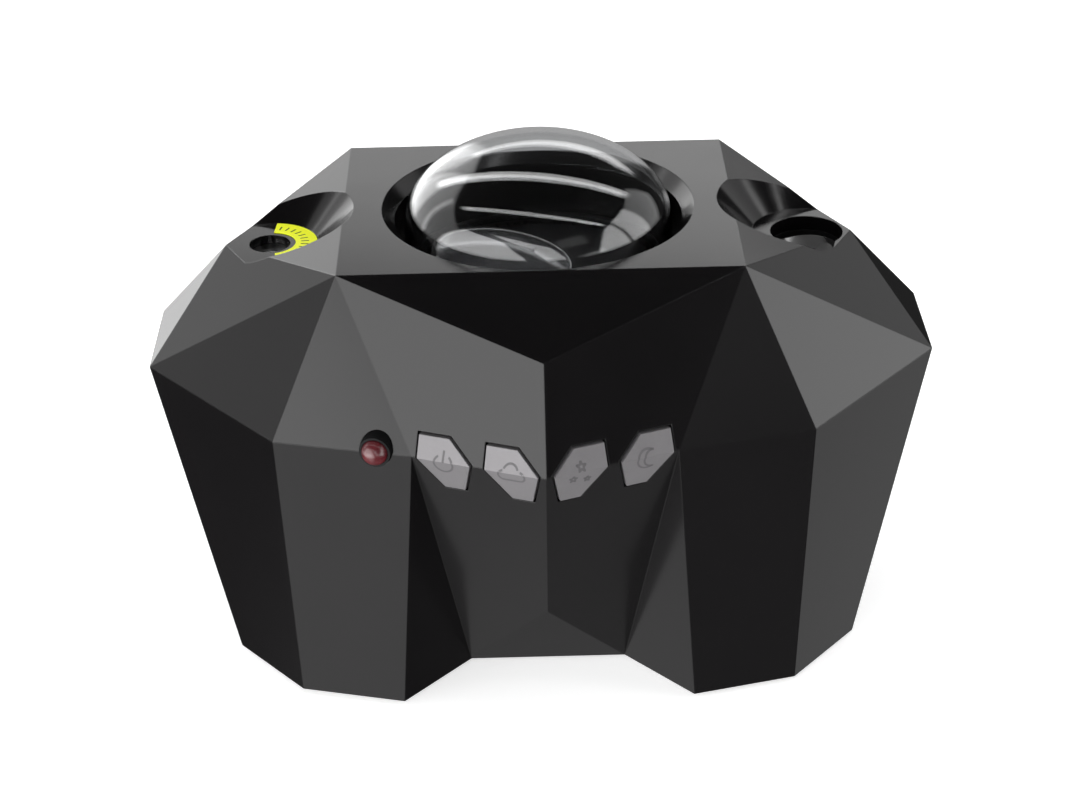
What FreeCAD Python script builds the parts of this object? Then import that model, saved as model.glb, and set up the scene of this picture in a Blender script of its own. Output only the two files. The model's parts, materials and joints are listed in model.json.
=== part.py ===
"""Table-top planetarium projector: a faceted case with a glass dome, a star outlet and a picture outlet.

Millimetres. X runs to the right, Y to the back, Z up. The case stands on four rubber feet and its
origin is the middle of that footprint. Everything is drawn with Z = 0 at the lower edge of the case
and lifted by foot_proud when it is written.
"""
import FreeCAD, Part
import math
import os

V = FreeCAD.Vector

# --- case: corners of the right front quarter; the other three quarters mirror it ---
plate_half_x = 39.5      # flat top plate
plate_half_y = 32.0
plate_z = 89.0
shoulder_x = 64.0        # corner beside each outlet
shoulder_z = 81.5
side_x = 80.0            # widest corners, on the parting plane
side_y = 13.0
parting_z = 60.5
leg_top_x = 52.5         # outer upper corner of a leg
leg_top_y = 46.0
cheek_x = 25.5           # where leg and prow meet
cheek_y = 53.0
prow_y = 63.0            # foremost corner
prow_top_z = 79.5        # upper end of the prow's ridge
prow_foot_z = 20.5       # lower end of the prow's ridge
toe_x = 50.5             # outline of the underside
heel_x = 64.5
leg_foot_x = 29.5
leg_foot_y = 47.0
notch_x = 16.0
notch_y = 32.0
wall = 2.2

# --- parting lip ---
lip_height = 1.6
lip_thick = 1.1
lip_gap = 0.15

# --- dome: an upright skirt with an elliptic crown, in a bevelled opening of the top plate ---
dome_r = 27.3
dome_rise = 16.5         # height of the crown above the skirt
dome_spring_z = 86.0     # where the skirt ends and the crown starts
dome_wall = 1.8
throat_gap = 2.0         # open groove between dome and throat
bevel = 2.5
flange_z = 74.0          # top of the dome's flange
flange_thick = 2.0
flange_reach = 3.7       # flange beyond the throat
gasket_thick = 1.0
gasket_gap = 0.6
clamp_thick = 2.0

# --- outlets either side of the dome ---
outlet_x = 55.0
star_floor_r = 10.0
star_rim_r = 17.5
picture_floor_r = 11.2
picture_rim_r = 18.5
outlet_wall = 2.0
outlet_floor = 3.0
aperture_r = 4.2
window_r = 5.2
window_thick = 1.2
picture_hole_r = 7.4
nose_rise = 2.8          # rounded nose that stands in front of the picture outlet's hole
nose_back_y = -4.0
nose_back_r = 7.8
nose_front_y = -13.0
nose_front_r = 4.8
nose_fall = 0.8
nose_left = 0.4
band_r = 9.7
band_width = 4.4
band_thick = 0.2
band_start = -75.0
band_sweep = 160.0

# --- screws ---
screw_r = 1.3
screw_head_r = 2.5
screw_head = 1.5
screw_gap = 0.2
thread_gap = 0.05
boss_r = 3.4
small_screw_r = 1.0
small_head_r = 1.9
small_head = 1.2

# --- underside ---
cover_thick = 2.6
cover_gap = 0.25
foot_proud = 1.2
foot_r = 5.0
foot_x = 46.0
foot_y = 29.0
foot_pocket = 1.0
foot_gap = 0.1
side_post_x = 57.0
leg_post_x = 27.0
leg_post_y = 35.0
post_height = 12.0
post_rib_reach = 14.0
rib_width = 2.4
vent_count = 7
vent_pitch = 5.0
vent_width = 2.0
vent_length = 26.0
vent_y = -2.0

# --- screws that join the two shells ---
join_x = 48.2
join_y = 40.2
join_depth = 12.0
join_bite = 6.0

# --- optics cup below the dome ---
cup_gap = 1.1            # cup's wall to the pinion that drives the disc
cup_wall = 1.6
cup_floor_z = 60.0
cup_floor = 2.0
ear_out = 3.4            # ear's screw outside the cup
ear_r = 4.2
ear_thick = 2.0
cup_bite = 7.5

# --- ripple disc and its drive ---
gear_module = 0.8
disc_teeth = 64
pinion_teeth = 10
tooth_add = 0.6          # addendum over module
tooth_ded = 0.95         # dedendum over module
backlash = 0.22
pressure_angle = 20.0
disc_z = 66.5
disc_thick = 2.0
rim_thick = 2.8
rim_width = 2.6
rim_step = 0.4           # disc's underside above that of its rim
hub_r = 4.0
hub_drop = 0.5
hub_rise = 0.8
axle_r = 1.5
axle_end = 0.4
run_gap = 0.05
end_gap = 0.3
clip_thick = 0.8
lenslet_circles = (9.0, 16.5)
lenslet_counts = (7, 13)
lenslet_r = 2.6
lenslet_rise = 0.7
motor_r = 7.5
motor_length = 18.0
motor_ear_x = 10.0
motor_ear = 2.0
shaft_r = 1.0
shaft_boss_r = 3.0
pinion_overlap = 0.6

# --- lamp below the cup ---
lamp_x = -10.0
lamp_y = -8.0
lens_r = 9.2
lens_edge = 1.2
lens_rise = 3.0
lens_ledge = 0.8
lamp_tube_length = 8.0
lamp_tube_wall = 1.4
board_thick = 1.6
lamp_board = 26.0
chip_size = 3.4
chip_height = 0.8
chip_pitch_r = 3.4
sink_height = 17.0
sink_base = 3.0
fin_count = 7
fin_thick = 1.4
lamp_screw_half = 10.5

# --- large lens under the dome, tilted in its black frame ---
view_bearing = -136.7    # where the lens reaches the dome's bore
view_r = 13.8
view_edge = 1.6
view_rise = 2.6
view_seat = 5.8          # lens above the frame's plate
view_tilt = 9.0
view_wall = 0.8
view_ledge = 1.0
frame_thick = 1.6
frame_gap = 0.3
frame_ledge = 1.9

# --- outlet modules hung below the outlets ---
deck_z = 68.0
deck_thick = 2.0
deck_screw_x = 45.0
deck_screw_y = 19.5
deck_inner_x = 41.2
deck_outer_x = 55.0
deck_y = 23.0
deck_disc_r = 10.4
sleeve_r = 6.0
sleeve_foot_z = 56.0
sleeve_top_z = 75.0
laser_r = 3.25
laser_length = 22.0
wheel_teeth = 24
wheel_face = 3.2
film_r = 6.4
film_thick = 0.4
cap_rise = 2.4
cap_wall = 1.2
star_motor_r = 5.5
star_motor_length = 14.0
star_ear_x = 7.6
star_pad_r = 3.0
star_pad_web = 1.2
barrel_r = 8.4
barrel_foot_z = 58.0
barrel_chamfer = 0.8
barrel_step_z = 71.0
barrel_bore_r = 7.2
barrel_low_bore_r = 6.2
slide_z = 60.0
slide_thick = 0.4
slide_ledge = 1.0
front_lens_edge = 2.0
front_lens_rise = 1.6
ring_height = 1.4
ring_wall = 1.2

# --- buttons: centres along the prow's crease, measured from the prow tip ---
button_centres = (7.2, 21.0)
button_outline = ((5.4, 4.1), (-0.8, 4.1), (-5.6, 0.0), (-3.5, -6.8), (0.6, -6.8), (5.2, 0.0))
button_proud = 0.3
button_gap = 0.4
button_travel = 0.7
button_seat = 5.2        # depth of the guide's inner face behind the crease
button_flange = 1.0
button_flange_out = 0.9
button_middle = 0.6      # nearest that a button comes to the middle plane
stem_gap = 0.1
stem_length = 0.3
stem_r = 1.8
plunger_r = 1.2
plunger_length = 2.0
plunger_gap = 0.1
switch_shift = 0.7
switch_size = 4.6
switch_front = 7.7
switch_thick = 2.8
guide_wall = 1.4
key_board_start = 5.7
key_board_end = 27.6
key_board_top = 4.6
key_board_foot = -8.2
key_ledge = 2.0
key_ledge_start = 11.0
key_ledge_end = 17.0

# --- infrared eye on the left cheek's crease ---
eye_along = 7.1
eye_up = 0.5
eye_r = 2.6
eye_depth = 5.4
eye_proud = 0.5
bezel_wall = 0.5
bezel_proud = 0.9
bezel_depth = 3.6
eye_board = 8.4
eye_board_thick = 1.0

# --- main board and power socket ---
main_half_x = 33.5
main_front_y = -26.0
main_back_y = 30.6
main_z = 8.0
standoff_r = 2.6
standoff_side = 4.0      # screw to the board's side edge
standoff_front = 5.0
standoff_back = 6.6
board_screw_bite = 5.0
chip_body = 10.0
chip_body_height = 1.4
small_part = 6.0
small_part_width = 4.5
small_part_height = 1.2
capacitor_r = 3.0
capacitor_height = 8.0
capacitor_pitch = 8.0
coil_size = 6.0
coil_height = 3.0
lead_socket_length = 7.5
lead_socket_width = 4.5
lead_socket_height = 5.0
lead_socket_pitch = 12.0
lead_socket_count = 4
lead_socket_edge = 2.0
socket_width = 8.94
socket_height = 3.26
socket_wall = 0.32
socket_length = 7.4
socket_gap = 0.25
slot_in = 8.0
slot_out = 12.0
tongue_width = 6.7
tongue_thick = 0.7
tongue_back = 1.2


# --- small builders ---

def box(x0, x1, y0, y1, z0, z1):
    return Part.makeBox(x1 - x0, y1 - y0, z1 - z0, V(x0, y0, z0))


def cyl(r, z0, z1, x=0.0, y=0.0):
    return Part.makeCylinder(r, z1 - z0, V(x, y, z0))


def bar(x, y, turn, length, width, z0, z1):
    """A straight rib that starts at x, y and runs in the direction turn, in degrees."""
    rib = box(0, length, -width / 2, width / 2, z0, z1)
    rib.rotate(V(0, 0, 0), V(0, 0, 1), turn)
    rib.translate(V(x, y, 0))
    return rib


def ring(r_out, r_in, z0, z1, x=0.0, y=0.0):
    return cyl(r_out, z0, z1, x, y).cut(cyl(r_in, z0 - 1.0, z1 + 1.0, x, y))


def cone(r0, r1, z0, z1, x=0.0, y=0.0):
    return Part.makeCone(r0, r1, z1 - z0, V(x, y, z0))


def fused(shapes):
    first, rest = shapes[0], shapes[1:]
    return first.multiFuse(rest).removeSplitter() if rest else first


def cut(shape, tools):
    for tool in tools:
        shape = shape.cut(tool)
    return shape


def group(shapes):
    return Part.makeCompound(shapes)


def mirrored(shape):
    return shape.mirror(V(0, 0, 0), V(1, 0, 0))


def four(x, y):
    return [(sx * x, sy * y) for sx in (-1, 1) for sy in (-1, 1)]


def prism(outline, z0, z1):
    points = [V(x, y, z0) for x, y in outline]
    face = Part.Face(Part.makePolygon(points + points[:1]))
    return face.extrude(V(0, 0, z1 - z0))


def revolved(profile, x=0.0, y=0.0):
    """Turns a closed profile of (radius, z) points about the upright axis through x, y."""
    points = [V(x + r, y, z) for r, z in profile]
    face = Part.Face(Part.makePolygon(points + points[:1]))
    return face.revolve(V(x, y, 0), V(0, 0, 1), 360)


def cap_of_sphere(base_r, rise, z, x=0.0, y=0.0):
    """A lens cap of that base radius and rise, standing on height z."""
    ball_r = (base_r ** 2 + rise ** 2) / (2 * rise)
    ball = Part.makeSphere(ball_r, V(x, y, z + rise - ball_r))
    return ball.common(cyl(base_r, z, z + rise + 1.0, x, y))


def screw(r, head_r, head, tip_z, seat_z, x, y):
    """A pan-head screw driven upwards: its head hangs below seat_z and its tip is at tip_z."""
    return cyl(r, seat_z - 0.01, tip_z, x, y).fuse(cyl(head_r, seat_z - head, seat_z, x, y))


def save(name, shape):
    moved = shape.copy()
    moved.translate(V(0, 0, foot_proud))
    moved.exportStep("parts/%s.step" % name)


# --- the case as a polyhedron ---

def on_plane(a, b, c, x, z):
    """The y of the point at x, z in the plane through a, b and c."""
    normal = (b - a).cross(c - a)
    return a.y - (normal.x * (x - a.x) + normal.z * (z - a.z)) / normal.y


def quarter_corners():
    """Corners of the right front quarter. Four of them follow from their flat facets."""
    p = {
        "plate": V(plate_half_x, -plate_half_y, plate_z),
        "shoulder": V(shoulder_x, 0, shoulder_z),
        "side": V(side_x, -side_y, parting_z),
        "leg_top": V(leg_top_x, -leg_top_y, parting_z),
        "cheek": V(cheek_x, -cheek_y, parting_z),
        "prow": V(0, -prow_y, parting_z),
        "leg_foot": V(leg_foot_x, -leg_foot_y, 0),
        "notch": V(notch_x, -notch_y, 0),
    }
    p["toe"] = V(toe_x, on_plane(p["leg_top"], p["cheek"], p["leg_foot"], toe_x, 0), 0)
    p["heel"] = V(heel_x, on_plane(p["side"], p["leg_top"], p["toe"], heel_x, 0), 0)
    p["prow_top"] = V(0, on_plane(p["plate"], p["cheek"], p["prow"], 0, prow_top_z), prow_top_z)
    p["prow_foot"] = V(0, on_plane(p["cheek"], p["prow"], p["notch"], 0, prow_foot_z), prow_foot_z)
    return p


QUARTER_FACETS = (
    ("plate", "shoulder", "side"),
    ("plate", "side", "leg_top"),
    ("plate", "leg_top", "cheek"),
    ("plate", "cheek", "prow", "prow_top"),
    ("side", "leg_top", "toe", "heel"),
    ("leg_top", "cheek", "leg_foot", "toe"),
    ("cheek", "leg_foot", "notch"),
    ("cheek", "prow", "prow_foot", "notch"),
)
BASE_RUN = ("heel", "toe", "leg_foot", "notch")


def corner_key(name, sx, sy):
    """Corners on a mirror plane are one corner, whichever side names them."""
    sx = 1 if name in ("prow", "prow_top", "prow_foot") else sx
    sy = 1 if name == "shoulder" else sy
    return name, sx, sy


def all_facets():
    """Every facet of the case as a list of corner keys. sy = 1 is the front half."""
    facets = []
    for sx in (1, -1):
        for sy in (1, -1):
            facets += [[corner_key(n, sx, sy) for n in f] for f in QUARTER_FACETS]
        facets.append([corner_key("plate", sx, 1), corner_key("plate", sx, -1), ("shoulder", sx, 1)])
        facets.append([("shoulder", sx, 1), ("side", sx, 1), ("side", sx, -1)])
        facets.append([("side", sx, 1), ("side", sx, -1), ("heel", sx, -1), ("heel", sx, 1)])
    for sy in (1, -1):
        facets.append([("plate", 1, sy), ("plate", -1, sy), ("prow_top", 1, sy)])
        facets.append([("notch", 1, sy), ("notch", -1, sy), ("prow_foot", 1, sy)])
    facets.append([("plate", 1, 1), ("plate", 1, -1), ("plate", -1, -1), ("plate", -1, 1)])
    base = [(n, 1, 1) for n in BASE_RUN] + [(n, -1, 1) for n in reversed(BASE_RUN)]
    base += [(n, -1, -1) for n in BASE_RUN] + [(n, 1, -1) for n in reversed(BASE_RUN)]
    facets.append(base)
    return facets


def corner_points():
    quarter = quarter_corners()
    points = {}
    for key in {k for facet in all_facets() for k in facet}:
        name, sx, sy = key
        p = quarter[name]
        points[key] = V(sx * p.x, sy * p.y, p.z)
    return points


def outward_normal(facet, points):
    a, b, c = (points[k] for k in facet[:3])
    normal = (b - a).cross(c - a)
    normal.normalize()
    middle = (a + b + c) * (1 / 3.0) - V(0, 0, 0.75 * parting_z)
    return normal if normal.dot(middle) > 0 else normal * -1


def inset_points(depth):
    """Corners moved in so that each facet sinks by about depth. The underside stays open."""
    points = corner_points()
    touching = {key: [] for key in points}
    for facet in all_facets():
        normal = outward_normal(facet, points)
        for key in facet:
            touching[key].append(normal)
    moved = {}
    for key, normals in touching.items():
        level = {"plate": -depth}.get(key[0], -cover_thick if key[0] in BASE_RUN else None)
        moved[key] = points[key] + inset_move(normals, depth, level)
    return moved


def inset_move(normals, depth, level):
    """Least-squares move that sinks every plane by depth. level, if given, fixes the rise."""
    rows = [(n.x, n.y, n.z) for n in normals]
    if level is None:
        matrix = [[sum(r[i] * r[j] for r in rows) for j in range(3)] for i in range(3)]
        right = [-depth * sum(r[i] for r in rows) for i in range(3)]
        return V(*solved(matrix, right))
    rows = [r for r in rows if abs(r[2]) < 0.999]
    matrix = [[sum(r[i] * r[j] for r in rows) for j in range(2)] for i in range(2)]
    right = [sum(r[i] * (-depth - r[2] * level) for r in rows) for i in range(2)]
    x, y = solved(matrix, right)
    return V(x, y, level)


def solved(matrix, right):
    """Gauss elimination for the small systems of inset_move."""
    size = len(right)
    rows = [list(m) + [r] for m, r in zip(matrix, right)]
    for i in range(size):
        best = max(range(i, size), key=lambda k: abs(rows[k][i]))
        rows[i], rows[best] = rows[best], rows[i]
        for k in range(size):
            if k != i:
                factor = rows[k][i] / rows[i][i]
                rows[k] = [a - factor * b for a, b in zip(rows[k], rows[i])]
    return [rows[i][size] / rows[i][i] for i in range(size)]


def polyhedron(points, split):
    """A solid of the case's facets. split cuts each facet in triangles, as an inset one needs."""
    faces = []
    for facet in all_facets():
        corners = [points[k] for k in facet]
        level = max(c.z for c in corners) - min(c.z for c in corners) < 1e-6
        if split and not level:
            runs = [(corners[0], corners[i], corners[i + 1]) for i in range(1, len(corners) - 1)]
        else:
            runs = [tuple(corners)]
        faces += [Part.Face(Part.makePolygon(list(run) + [run[0]])) for run in runs]
    solid = Part.Solid(Part.makeShell(faces))
    if solid.Volume < 0:
        solid.reverse()
    return solid


def case_block():
    return polyhedron(corner_points(), False)


def case_inset(depth):
    return polyhedron(inset_points(depth), True)


def slab(z0, z1):
    reach = 2 * side_x
    return box(-reach, reach, -reach, reach, z0, z1)


# --- places that follow from the case ---

def crease(side):
    """Frame of the prow's crease: start at the prow tip, direction along it, inward direction."""
    p = quarter_corners()
    start = p["prow"]
    along = p["cheek"] - start
    along.normalize()
    inward = V(-along.y, along.x, 0)
    return start, V(side * along.x, along.y, 0), V(side * inward.x, inward.y, 0)


def place_on_crease(side, s, depth, height):
    start, along, inward = crease(side)
    return start + along * s + inward * depth + V(0, 0, height)


def crease_prism(side, outline, depth0, depth1):
    """An outline of (along, height) points, pushed inwards from depth0 to depth1."""
    inward = crease(side)[2]
    points = [place_on_crease(side, s, depth0, h) for s, h in outline]
    face = Part.Face(Part.makePolygon(points + points[:1]))
    return face.extrude(inward * (depth1 - depth0))


def crease_box(side, s0, s1, depth0, depth1, h0, h1):
    return crease_prism(side, ((s0, h0), (s1, h0), (s1, h1), (s0, h1)), depth0, depth1)


def crease_rod(side, s, height, r, depth0, depth1):
    inward = crease(side)[2]
    return Part.makeCylinder(r, depth1 - depth0, place_on_crease(side, s, depth0, height), inward)


def grown(outline, by):
    """The outline with every edge moved out by that much. Its points run anticlockwise."""
    count = len(outline)
    out = []
    for i in range(count):
        a, b, c = outline[i - 1], outline[i], outline[(i + 1) % count]
        n1, n2 = edge_normal(a, b), edge_normal(b, c)
        scale = by / (1 + n1[0] * n2[0] + n1[1] * n2[1])
        out.append((b[0] + (n1[0] + n2[0]) * scale, b[1] + (n1[1] + n2[1]) * scale))
    return out


def edge_normal(a, b):
    dx, dy = b[0] - a[0], b[1] - a[1]
    length = math.hypot(dx, dy)
    return dy / length, -dx / length


def button_shape(centre, by=0.0):
    return [(centre + s, h) for s, h in grown(button_outline, by)]


def eye_frame():
    """Centre of the infrared eye on the left cheek's crease, and the way it looks."""
    p = quarter_corners()
    along = p["leg_top"] - p["cheek"]
    along.normalize()
    spot = p["cheek"] + along * eye_along
    return V(-spot.x, spot.y, parting_z + eye_up), V(-along.y, -along.x, 0)


def outlet_radii(side):
    """Radii of an outlet's well, on its floor and on the top plate."""
    return (star_floor_r, star_rim_r) if side < 0 else (picture_floor_r, picture_rim_r)


def outlet_cut(side):
    floor_r, rim = outlet_radii(side)
    slope = (rim - floor_r) / (plate_z - shoulder_z)
    over = 6.0
    return cone(floor_r, rim + slope * over, shoulder_z, plate_z + over, side * outlet_x)


def outlet_cup(side):
    floor_r, rim = outlet_radii(side)
    foot = floor_r + outlet_wall
    return fused([cyl(foot, shoulder_z - outlet_floor, shoulder_z, side * outlet_x),
                  cone(foot, rim + outlet_wall, shoulder_z, plate_z, side * outlet_x)])


def picture_nose():
    """Rounded nose on the right well's floor, lower and narrower towards the front."""
    x, top = outlet_x - nose_left, shoulder_z + nose_rise
    ends = []
    for y, r, z in ((nose_back_y, nose_back_r, top), (nose_front_y, nose_front_r, top - nose_fall)):
        ends.append(Part.Wire([Part.makeCircle(r, V(x, y, z - r), V(0, 1, 0))]))
    return Part.makeLoft(ends, True, True).common(slab(shoulder_z - outlet_floor / 2, plate_z))


def ear_places():
    reach = (cup_out_r() + ear_out) / math.sqrt(2)
    return four(reach, reach)


def throat_r():
    return dome_r + throat_gap


def flange_r():
    return throat_r() + flange_reach


def dome_bore_r():
    return dome_r - dome_wall


def cup_r():
    """Inner radius of the cup, which clears the disc's pinion."""
    return drive_distance(disc_teeth) + gear_module * (pinion_teeth / 2 + tooth_add) + cup_gap


def cup_out_r():
    return cup_r() + cup_wall


def flange_foot_z():
    return flange_z - flange_thick


def clamp_foot_z():
    return flange_foot_z() - clamp_thick


def collar_foot_z():
    return flange_z + gasket_thick


def cup_top_z():
    return cup_floor_z + cup_floor


# --- case parts ---

def make_upper_shell(block):
    hollow = case_inset(wall)
    shell = block.common(slab(parting_z, plate_z + 1)).cut(hollow)
    collar = cyl(flange_r() + wall, collar_foot_z(), plate_z)
    bosses = [cyl(boss_r, flange_foot_z(), plate_z, x, y) for x, y in ear_places()]
    deck_top = deck_z + deck_thick
    bosses += [cyl(boss_r, deck_top, plate_z, x, y) for x, y in four(deck_screw_x, deck_screw_y)]
    bosses += [join_boss(x, y, parting_z, plate_z) for x, y in four(join_x, join_y)]
    cups = [outlet_cup(-1), outlet_cup(1)]
    guides = [guide_block(side) for side in (-1, 1)] + [eye_block()]
    inside = fused([collar] + bosses + cups + guides).common(block).common(slab(parting_z, plate_z + 1))
    shell = cut(fused([shell, inside]), [outlet_cut(-1), outlet_cut(1)])
    shell = fused([shell, picture_nose().common(block)])
    tools = [dome_cut()]
    tools += [cyl(aperture_r, deck_z, plate_z, -outlet_x), cyl(picture_hole_r, deck_z, plate_z, outlet_x)]
    tools += [cyl(window_r, deck_z, shoulder_z - outlet_floor + window_thick, -outlet_x)]
    pilot = screw_r + thread_gap
    for places, z, bite in ((ear_places(), flange_foot_z(), cup_bite),
                            (four(deck_screw_x, deck_screw_y), deck_top, join_bite),
                            (four(join_x, join_y), parting_z, join_bite)):
        tools += [cyl(pilot, z - 1, z + bite + 1, x, y) for x, y in places]
    return cut(shell, tools + button_cuts() + [eye_cut()])


def dome_cut():
    """The throat with its bevelled rim."""
    throat = cyl(throat_r(), collar_foot_z() - 1, plate_z)
    rim = cone(throat_r(), throat_r() + bevel + 1.0, plate_z - bevel, plate_z + 1.0)
    return throat.fuse(rim)


def join_boss(x, y, z0, z1, spread=0.0):
    """A screw boss tied into the leg's corner. spread grows it on all sides."""
    tie = bar(x, y, math.degrees(math.atan2(y, x)), leg_top_x, rib_width + 2 * spread, z0, z1)
    return cyl(boss_r + spread, z0, z1, x, y).fuse(tie)


def guide_block(side):
    """Thickened wall that guides the two buttons of one side."""
    ends = button_shape(button_centres[0], guide_wall) + button_shape(button_centres[-1], guide_wall)
    s0, s1 = min(s for s, h in ends), max(s for s, h in ends)
    h0, h1 = min(h for s, h in ends), max(h for s, h in ends)
    return crease_box(side, s0, s1, 0, button_seat, h0, h1)


def button_cuts():
    return [crease_prism(side, button_shape(c, button_gap), -2, button_seat + 1)
            for side in (-1, 1) for c in button_centres]


def eye_block():
    spot, out = eye_frame()
    return Part.makeCylinder(eye_r + bezel_wall + guide_wall, bezel_depth, spot - out * bezel_depth, out)


def eye_cut():
    spot, out = eye_frame()
    r = eye_r + bezel_wall + lip_gap
    return Part.makeCylinder(r, bezel_depth + 6, spot - out * (bezel_depth + 3), out)


def make_lower_shell(block):
    hollow = case_inset(wall)
    shell = block.common(slab(0, parting_z)).cut(hollow)
    bosses = [join_boss(x, y, parting_z - join_depth, parting_z) for x, y in four(join_x, join_y)]
    posts = [base_post(x, y) for x, y in post_places()]
    guides = [guide_block(side) for side in (-1, 1)] + [eye_block()] + [key_ledge_block(s) for s in (-1, 1)]
    inside = fused(bosses + posts + guides).common(block).common(slab(0, parting_z))
    shell = fused([shell, inside, lip()])
    pilot = screw_r + thread_gap
    tools = [cyl(pilot, 0, cover_thick + post_height - 2, x, y) for x, y in post_places()]
    head_z = parting_z - join_bite
    for x, y in four(join_x, join_y):
        tools.append(cyl(screw_r + screw_gap, head_z - 1, parting_z + 5, x, y))
        tools.append(cyl(screw_head_r + screw_gap, parting_z - join_depth - 5, head_z, x, y))
    tools += lip_reliefs() + button_cuts() + [eye_cut(), socket_slot()]
    return cut(shell, tools)


def lip():
    """A ring that stands up inside the upper shell's wall."""
    outer = case_inset(wall + lip_gap).common(slab(parting_z, parting_z + lip_height))
    root = case_inset(wall - 0.3).common(slab(parting_z - lip_height, parting_z))
    return outer.fuse(root).cut(case_inset(wall + lip_gap + lip_thick))


def lip_reliefs():
    """The lip stops short of the upper shell's bosses and guides."""
    high = parting_z + lip_height + 1
    tools = [join_boss(x, y, parting_z, high, lip_gap) for x, y in four(join_x, join_y)]
    spread = guide_wall + lip_gap
    for side in (-1, 1):
        ends = button_shape(button_centres[0], spread) + button_shape(button_centres[-1], spread)
        s0, s1 = min(s for s, h in ends), max(s for s, h in ends)
        tools.append(crease_box(side, s0, s1, 0, button_seat + 2, 0, lip_height + 1))
    spot, out = eye_frame()
    r = eye_r + bezel_wall + guide_wall + lip_gap
    eye = Part.makeCylinder(r, bezel_depth + 3, spot - out * (bezel_depth + 3), out)
    tools.append(eye.common(slab(parting_z, high)))
    return tools


def post_places():
    return [(-side_post_x, 0.0), (side_post_x, 0.0)] + four(leg_post_x, leg_post_y)


def base_post(x, y):
    """A screw post with a rib to the nearest wall."""
    z0, z1 = cover_thick, cover_thick + post_height
    turn = math.degrees(math.atan2(y, x)) if abs(x) > leg_post_x else math.copysign(90, y)
    return cyl(boss_r, z0, z1, x, y).fuse(bar(x, y, turn, post_rib_reach, rib_width, z0 + 1.0, z1))


def key_ledge_block(side):
    """A shelf below the key board of one side."""
    front = 1.0
    back = switch_front + switch_thick + board_thick + 0.6
    top = key_board_foot - end_gap
    return crease_box(side, key_ledge_start, key_ledge_end, front, back, top - key_ledge, top)


def socket_mouth_y():
    """Where the socket ends: a wall's depth inside the rear notch's facet."""
    p = quarter_corners()
    slope = (-p["prow_foot"].y - notch_y) / prow_foot_z
    return notch_y + slope * socket_z() - 0.6 * wall


def socket_z():
    return main_z + board_thick + socket_height / 2 + 0.1


def stadium(width, height, y0, y1, z):
    """A flat-sided round-ended rod along Y."""
    r = height / 2
    half = width / 2 - r
    core = box(-half, half, y0, y1, z - r, z + r)
    ends = [Part.makeCylinder(r, y1 - y0, V(x, y0, z), V(0, 1, 0)) for x in (-half, half)]
    return fused([core] + ends)


def socket_slot():
    grow = 2 * socket_gap
    y = socket_mouth_y()
    return stadium(socket_width + grow, socket_height + grow, y - slot_in, y + slot_out, socket_z())


def base_outline():
    wires = case_inset(wall + cover_gap).slice(V(0, 0, 1), 0.0)
    return Part.Wire(wires[0])


def make_base_cover():
    plate = Part.Face(base_outline()).extrude(V(0, 0, cover_thick))
    standoffs = [cyl(standoff_r, cover_thick, main_z, x, y) for x, y in standoff_places()]
    tools = [cyl(foot_r + foot_gap, -1, foot_pocket, x, y) for x, y in four(foot_x, foot_y)]
    for x, y in post_places():
        tools.append(cyl(screw_r + screw_gap, -1, cover_thick + 1, x, y))
        tools.append(cyl(screw_head_r + screw_gap, -1, screw_head, x, y))
    tools += [cyl(small_screw_r + thread_gap, 1.2, main_z + 1, x, y) for x, y in standoff_places()]
    first = -(vent_count - 1) / 2 * vent_pitch
    for i in range(vent_count):
        x = first + i * vent_pitch
        half = (vent_length - vent_width) / 2
        slot = box(x - vent_width / 2, x + vent_width / 2, vent_y - half, vent_y + half, -1, cover_thick + 1)
        ends = [cyl(vent_width / 2, -1, cover_thick + 1, x, vent_y + e) for e in (-half, half)]
        tools.append(fused([slot] + ends))
    return cut(fused([plate] + standoffs), tools)


def standoff_places():
    """Screws of the main board, each a fixed way in from the board's edges."""
    x = main_half_x - standoff_side
    y0, y1 = main_front_y + standoff_front, main_back_y - standoff_back
    return [(sx * x, y) for sx in (-1, 1) for y in (y0, y1)]


def make_rubber_feet():
    edge = 0.6
    profile = ((0, -foot_proud), (foot_r - edge, -foot_proud), (foot_r, -foot_proud + edge),
               (foot_r, foot_pocket), (0, foot_pocket))
    return group([revolved(profile, x, y) for x, y in four(foot_x, foot_y)])


def make_base_screws():
    tip = cover_thick + post_height - 4
    return group([screw(screw_r, screw_head_r, screw_head - 0.1, tip, screw_head, x, y)
                  for x, y in post_places()])


def make_join_screws():
    tip = parting_z + join_bite
    return group([screw(screw_r, screw_head_r, screw_head, tip, parting_z - join_bite, x, y)
                  for x, y in four(join_x, join_y)])


# --- dome, optics cup, ripple disc ---

def crown_arc(r, rise):
    """Quarter ellipse from the spring line up to the axis, as a spline that STEP keeps."""
    middle = V(0, 0, dome_spring_z)
    ellipse = Part.Ellipse(V(r, 0, dome_spring_z), V(0, 0, dome_spring_z + rise), middle)
    return Part.ArcOfEllipse(ellipse, 0, math.pi / 2).toBSpline().toShape()


def make_glass_dome():
    """Flange, upright skirt and elliptic crown, turned from one profile."""
    foot_z, bore, inner_rise = flange_foot_z(), dome_bore_r(), dome_rise - dome_wall
    side = [(bore, dome_spring_z), (bore, foot_z), (flange_r(), foot_z), (flange_r(), flange_z),
            (dome_r, flange_z), (dome_r, dome_spring_z)]
    straight = Part.makePolygon([V(x, 0, z) for x, z in side])
    middle = Part.makeLine(V(0, 0, dome_spring_z + inner_rise), V(0, 0, dome_spring_z + dome_rise))
    edges = [crown_arc(dome_r, dome_rise), middle, crown_arc(bore, inner_rise)] + straight.Edges
    profile = Part.Wire(Part.__sortEdges__(edges))
    return Part.Face(profile).revolve(V(0, 0, 0), V(0, 0, 1), 360)


def make_dome_gasket():
    return ring(flange_r(), throat_r() + gasket_gap, flange_z, collar_foot_z())


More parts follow.
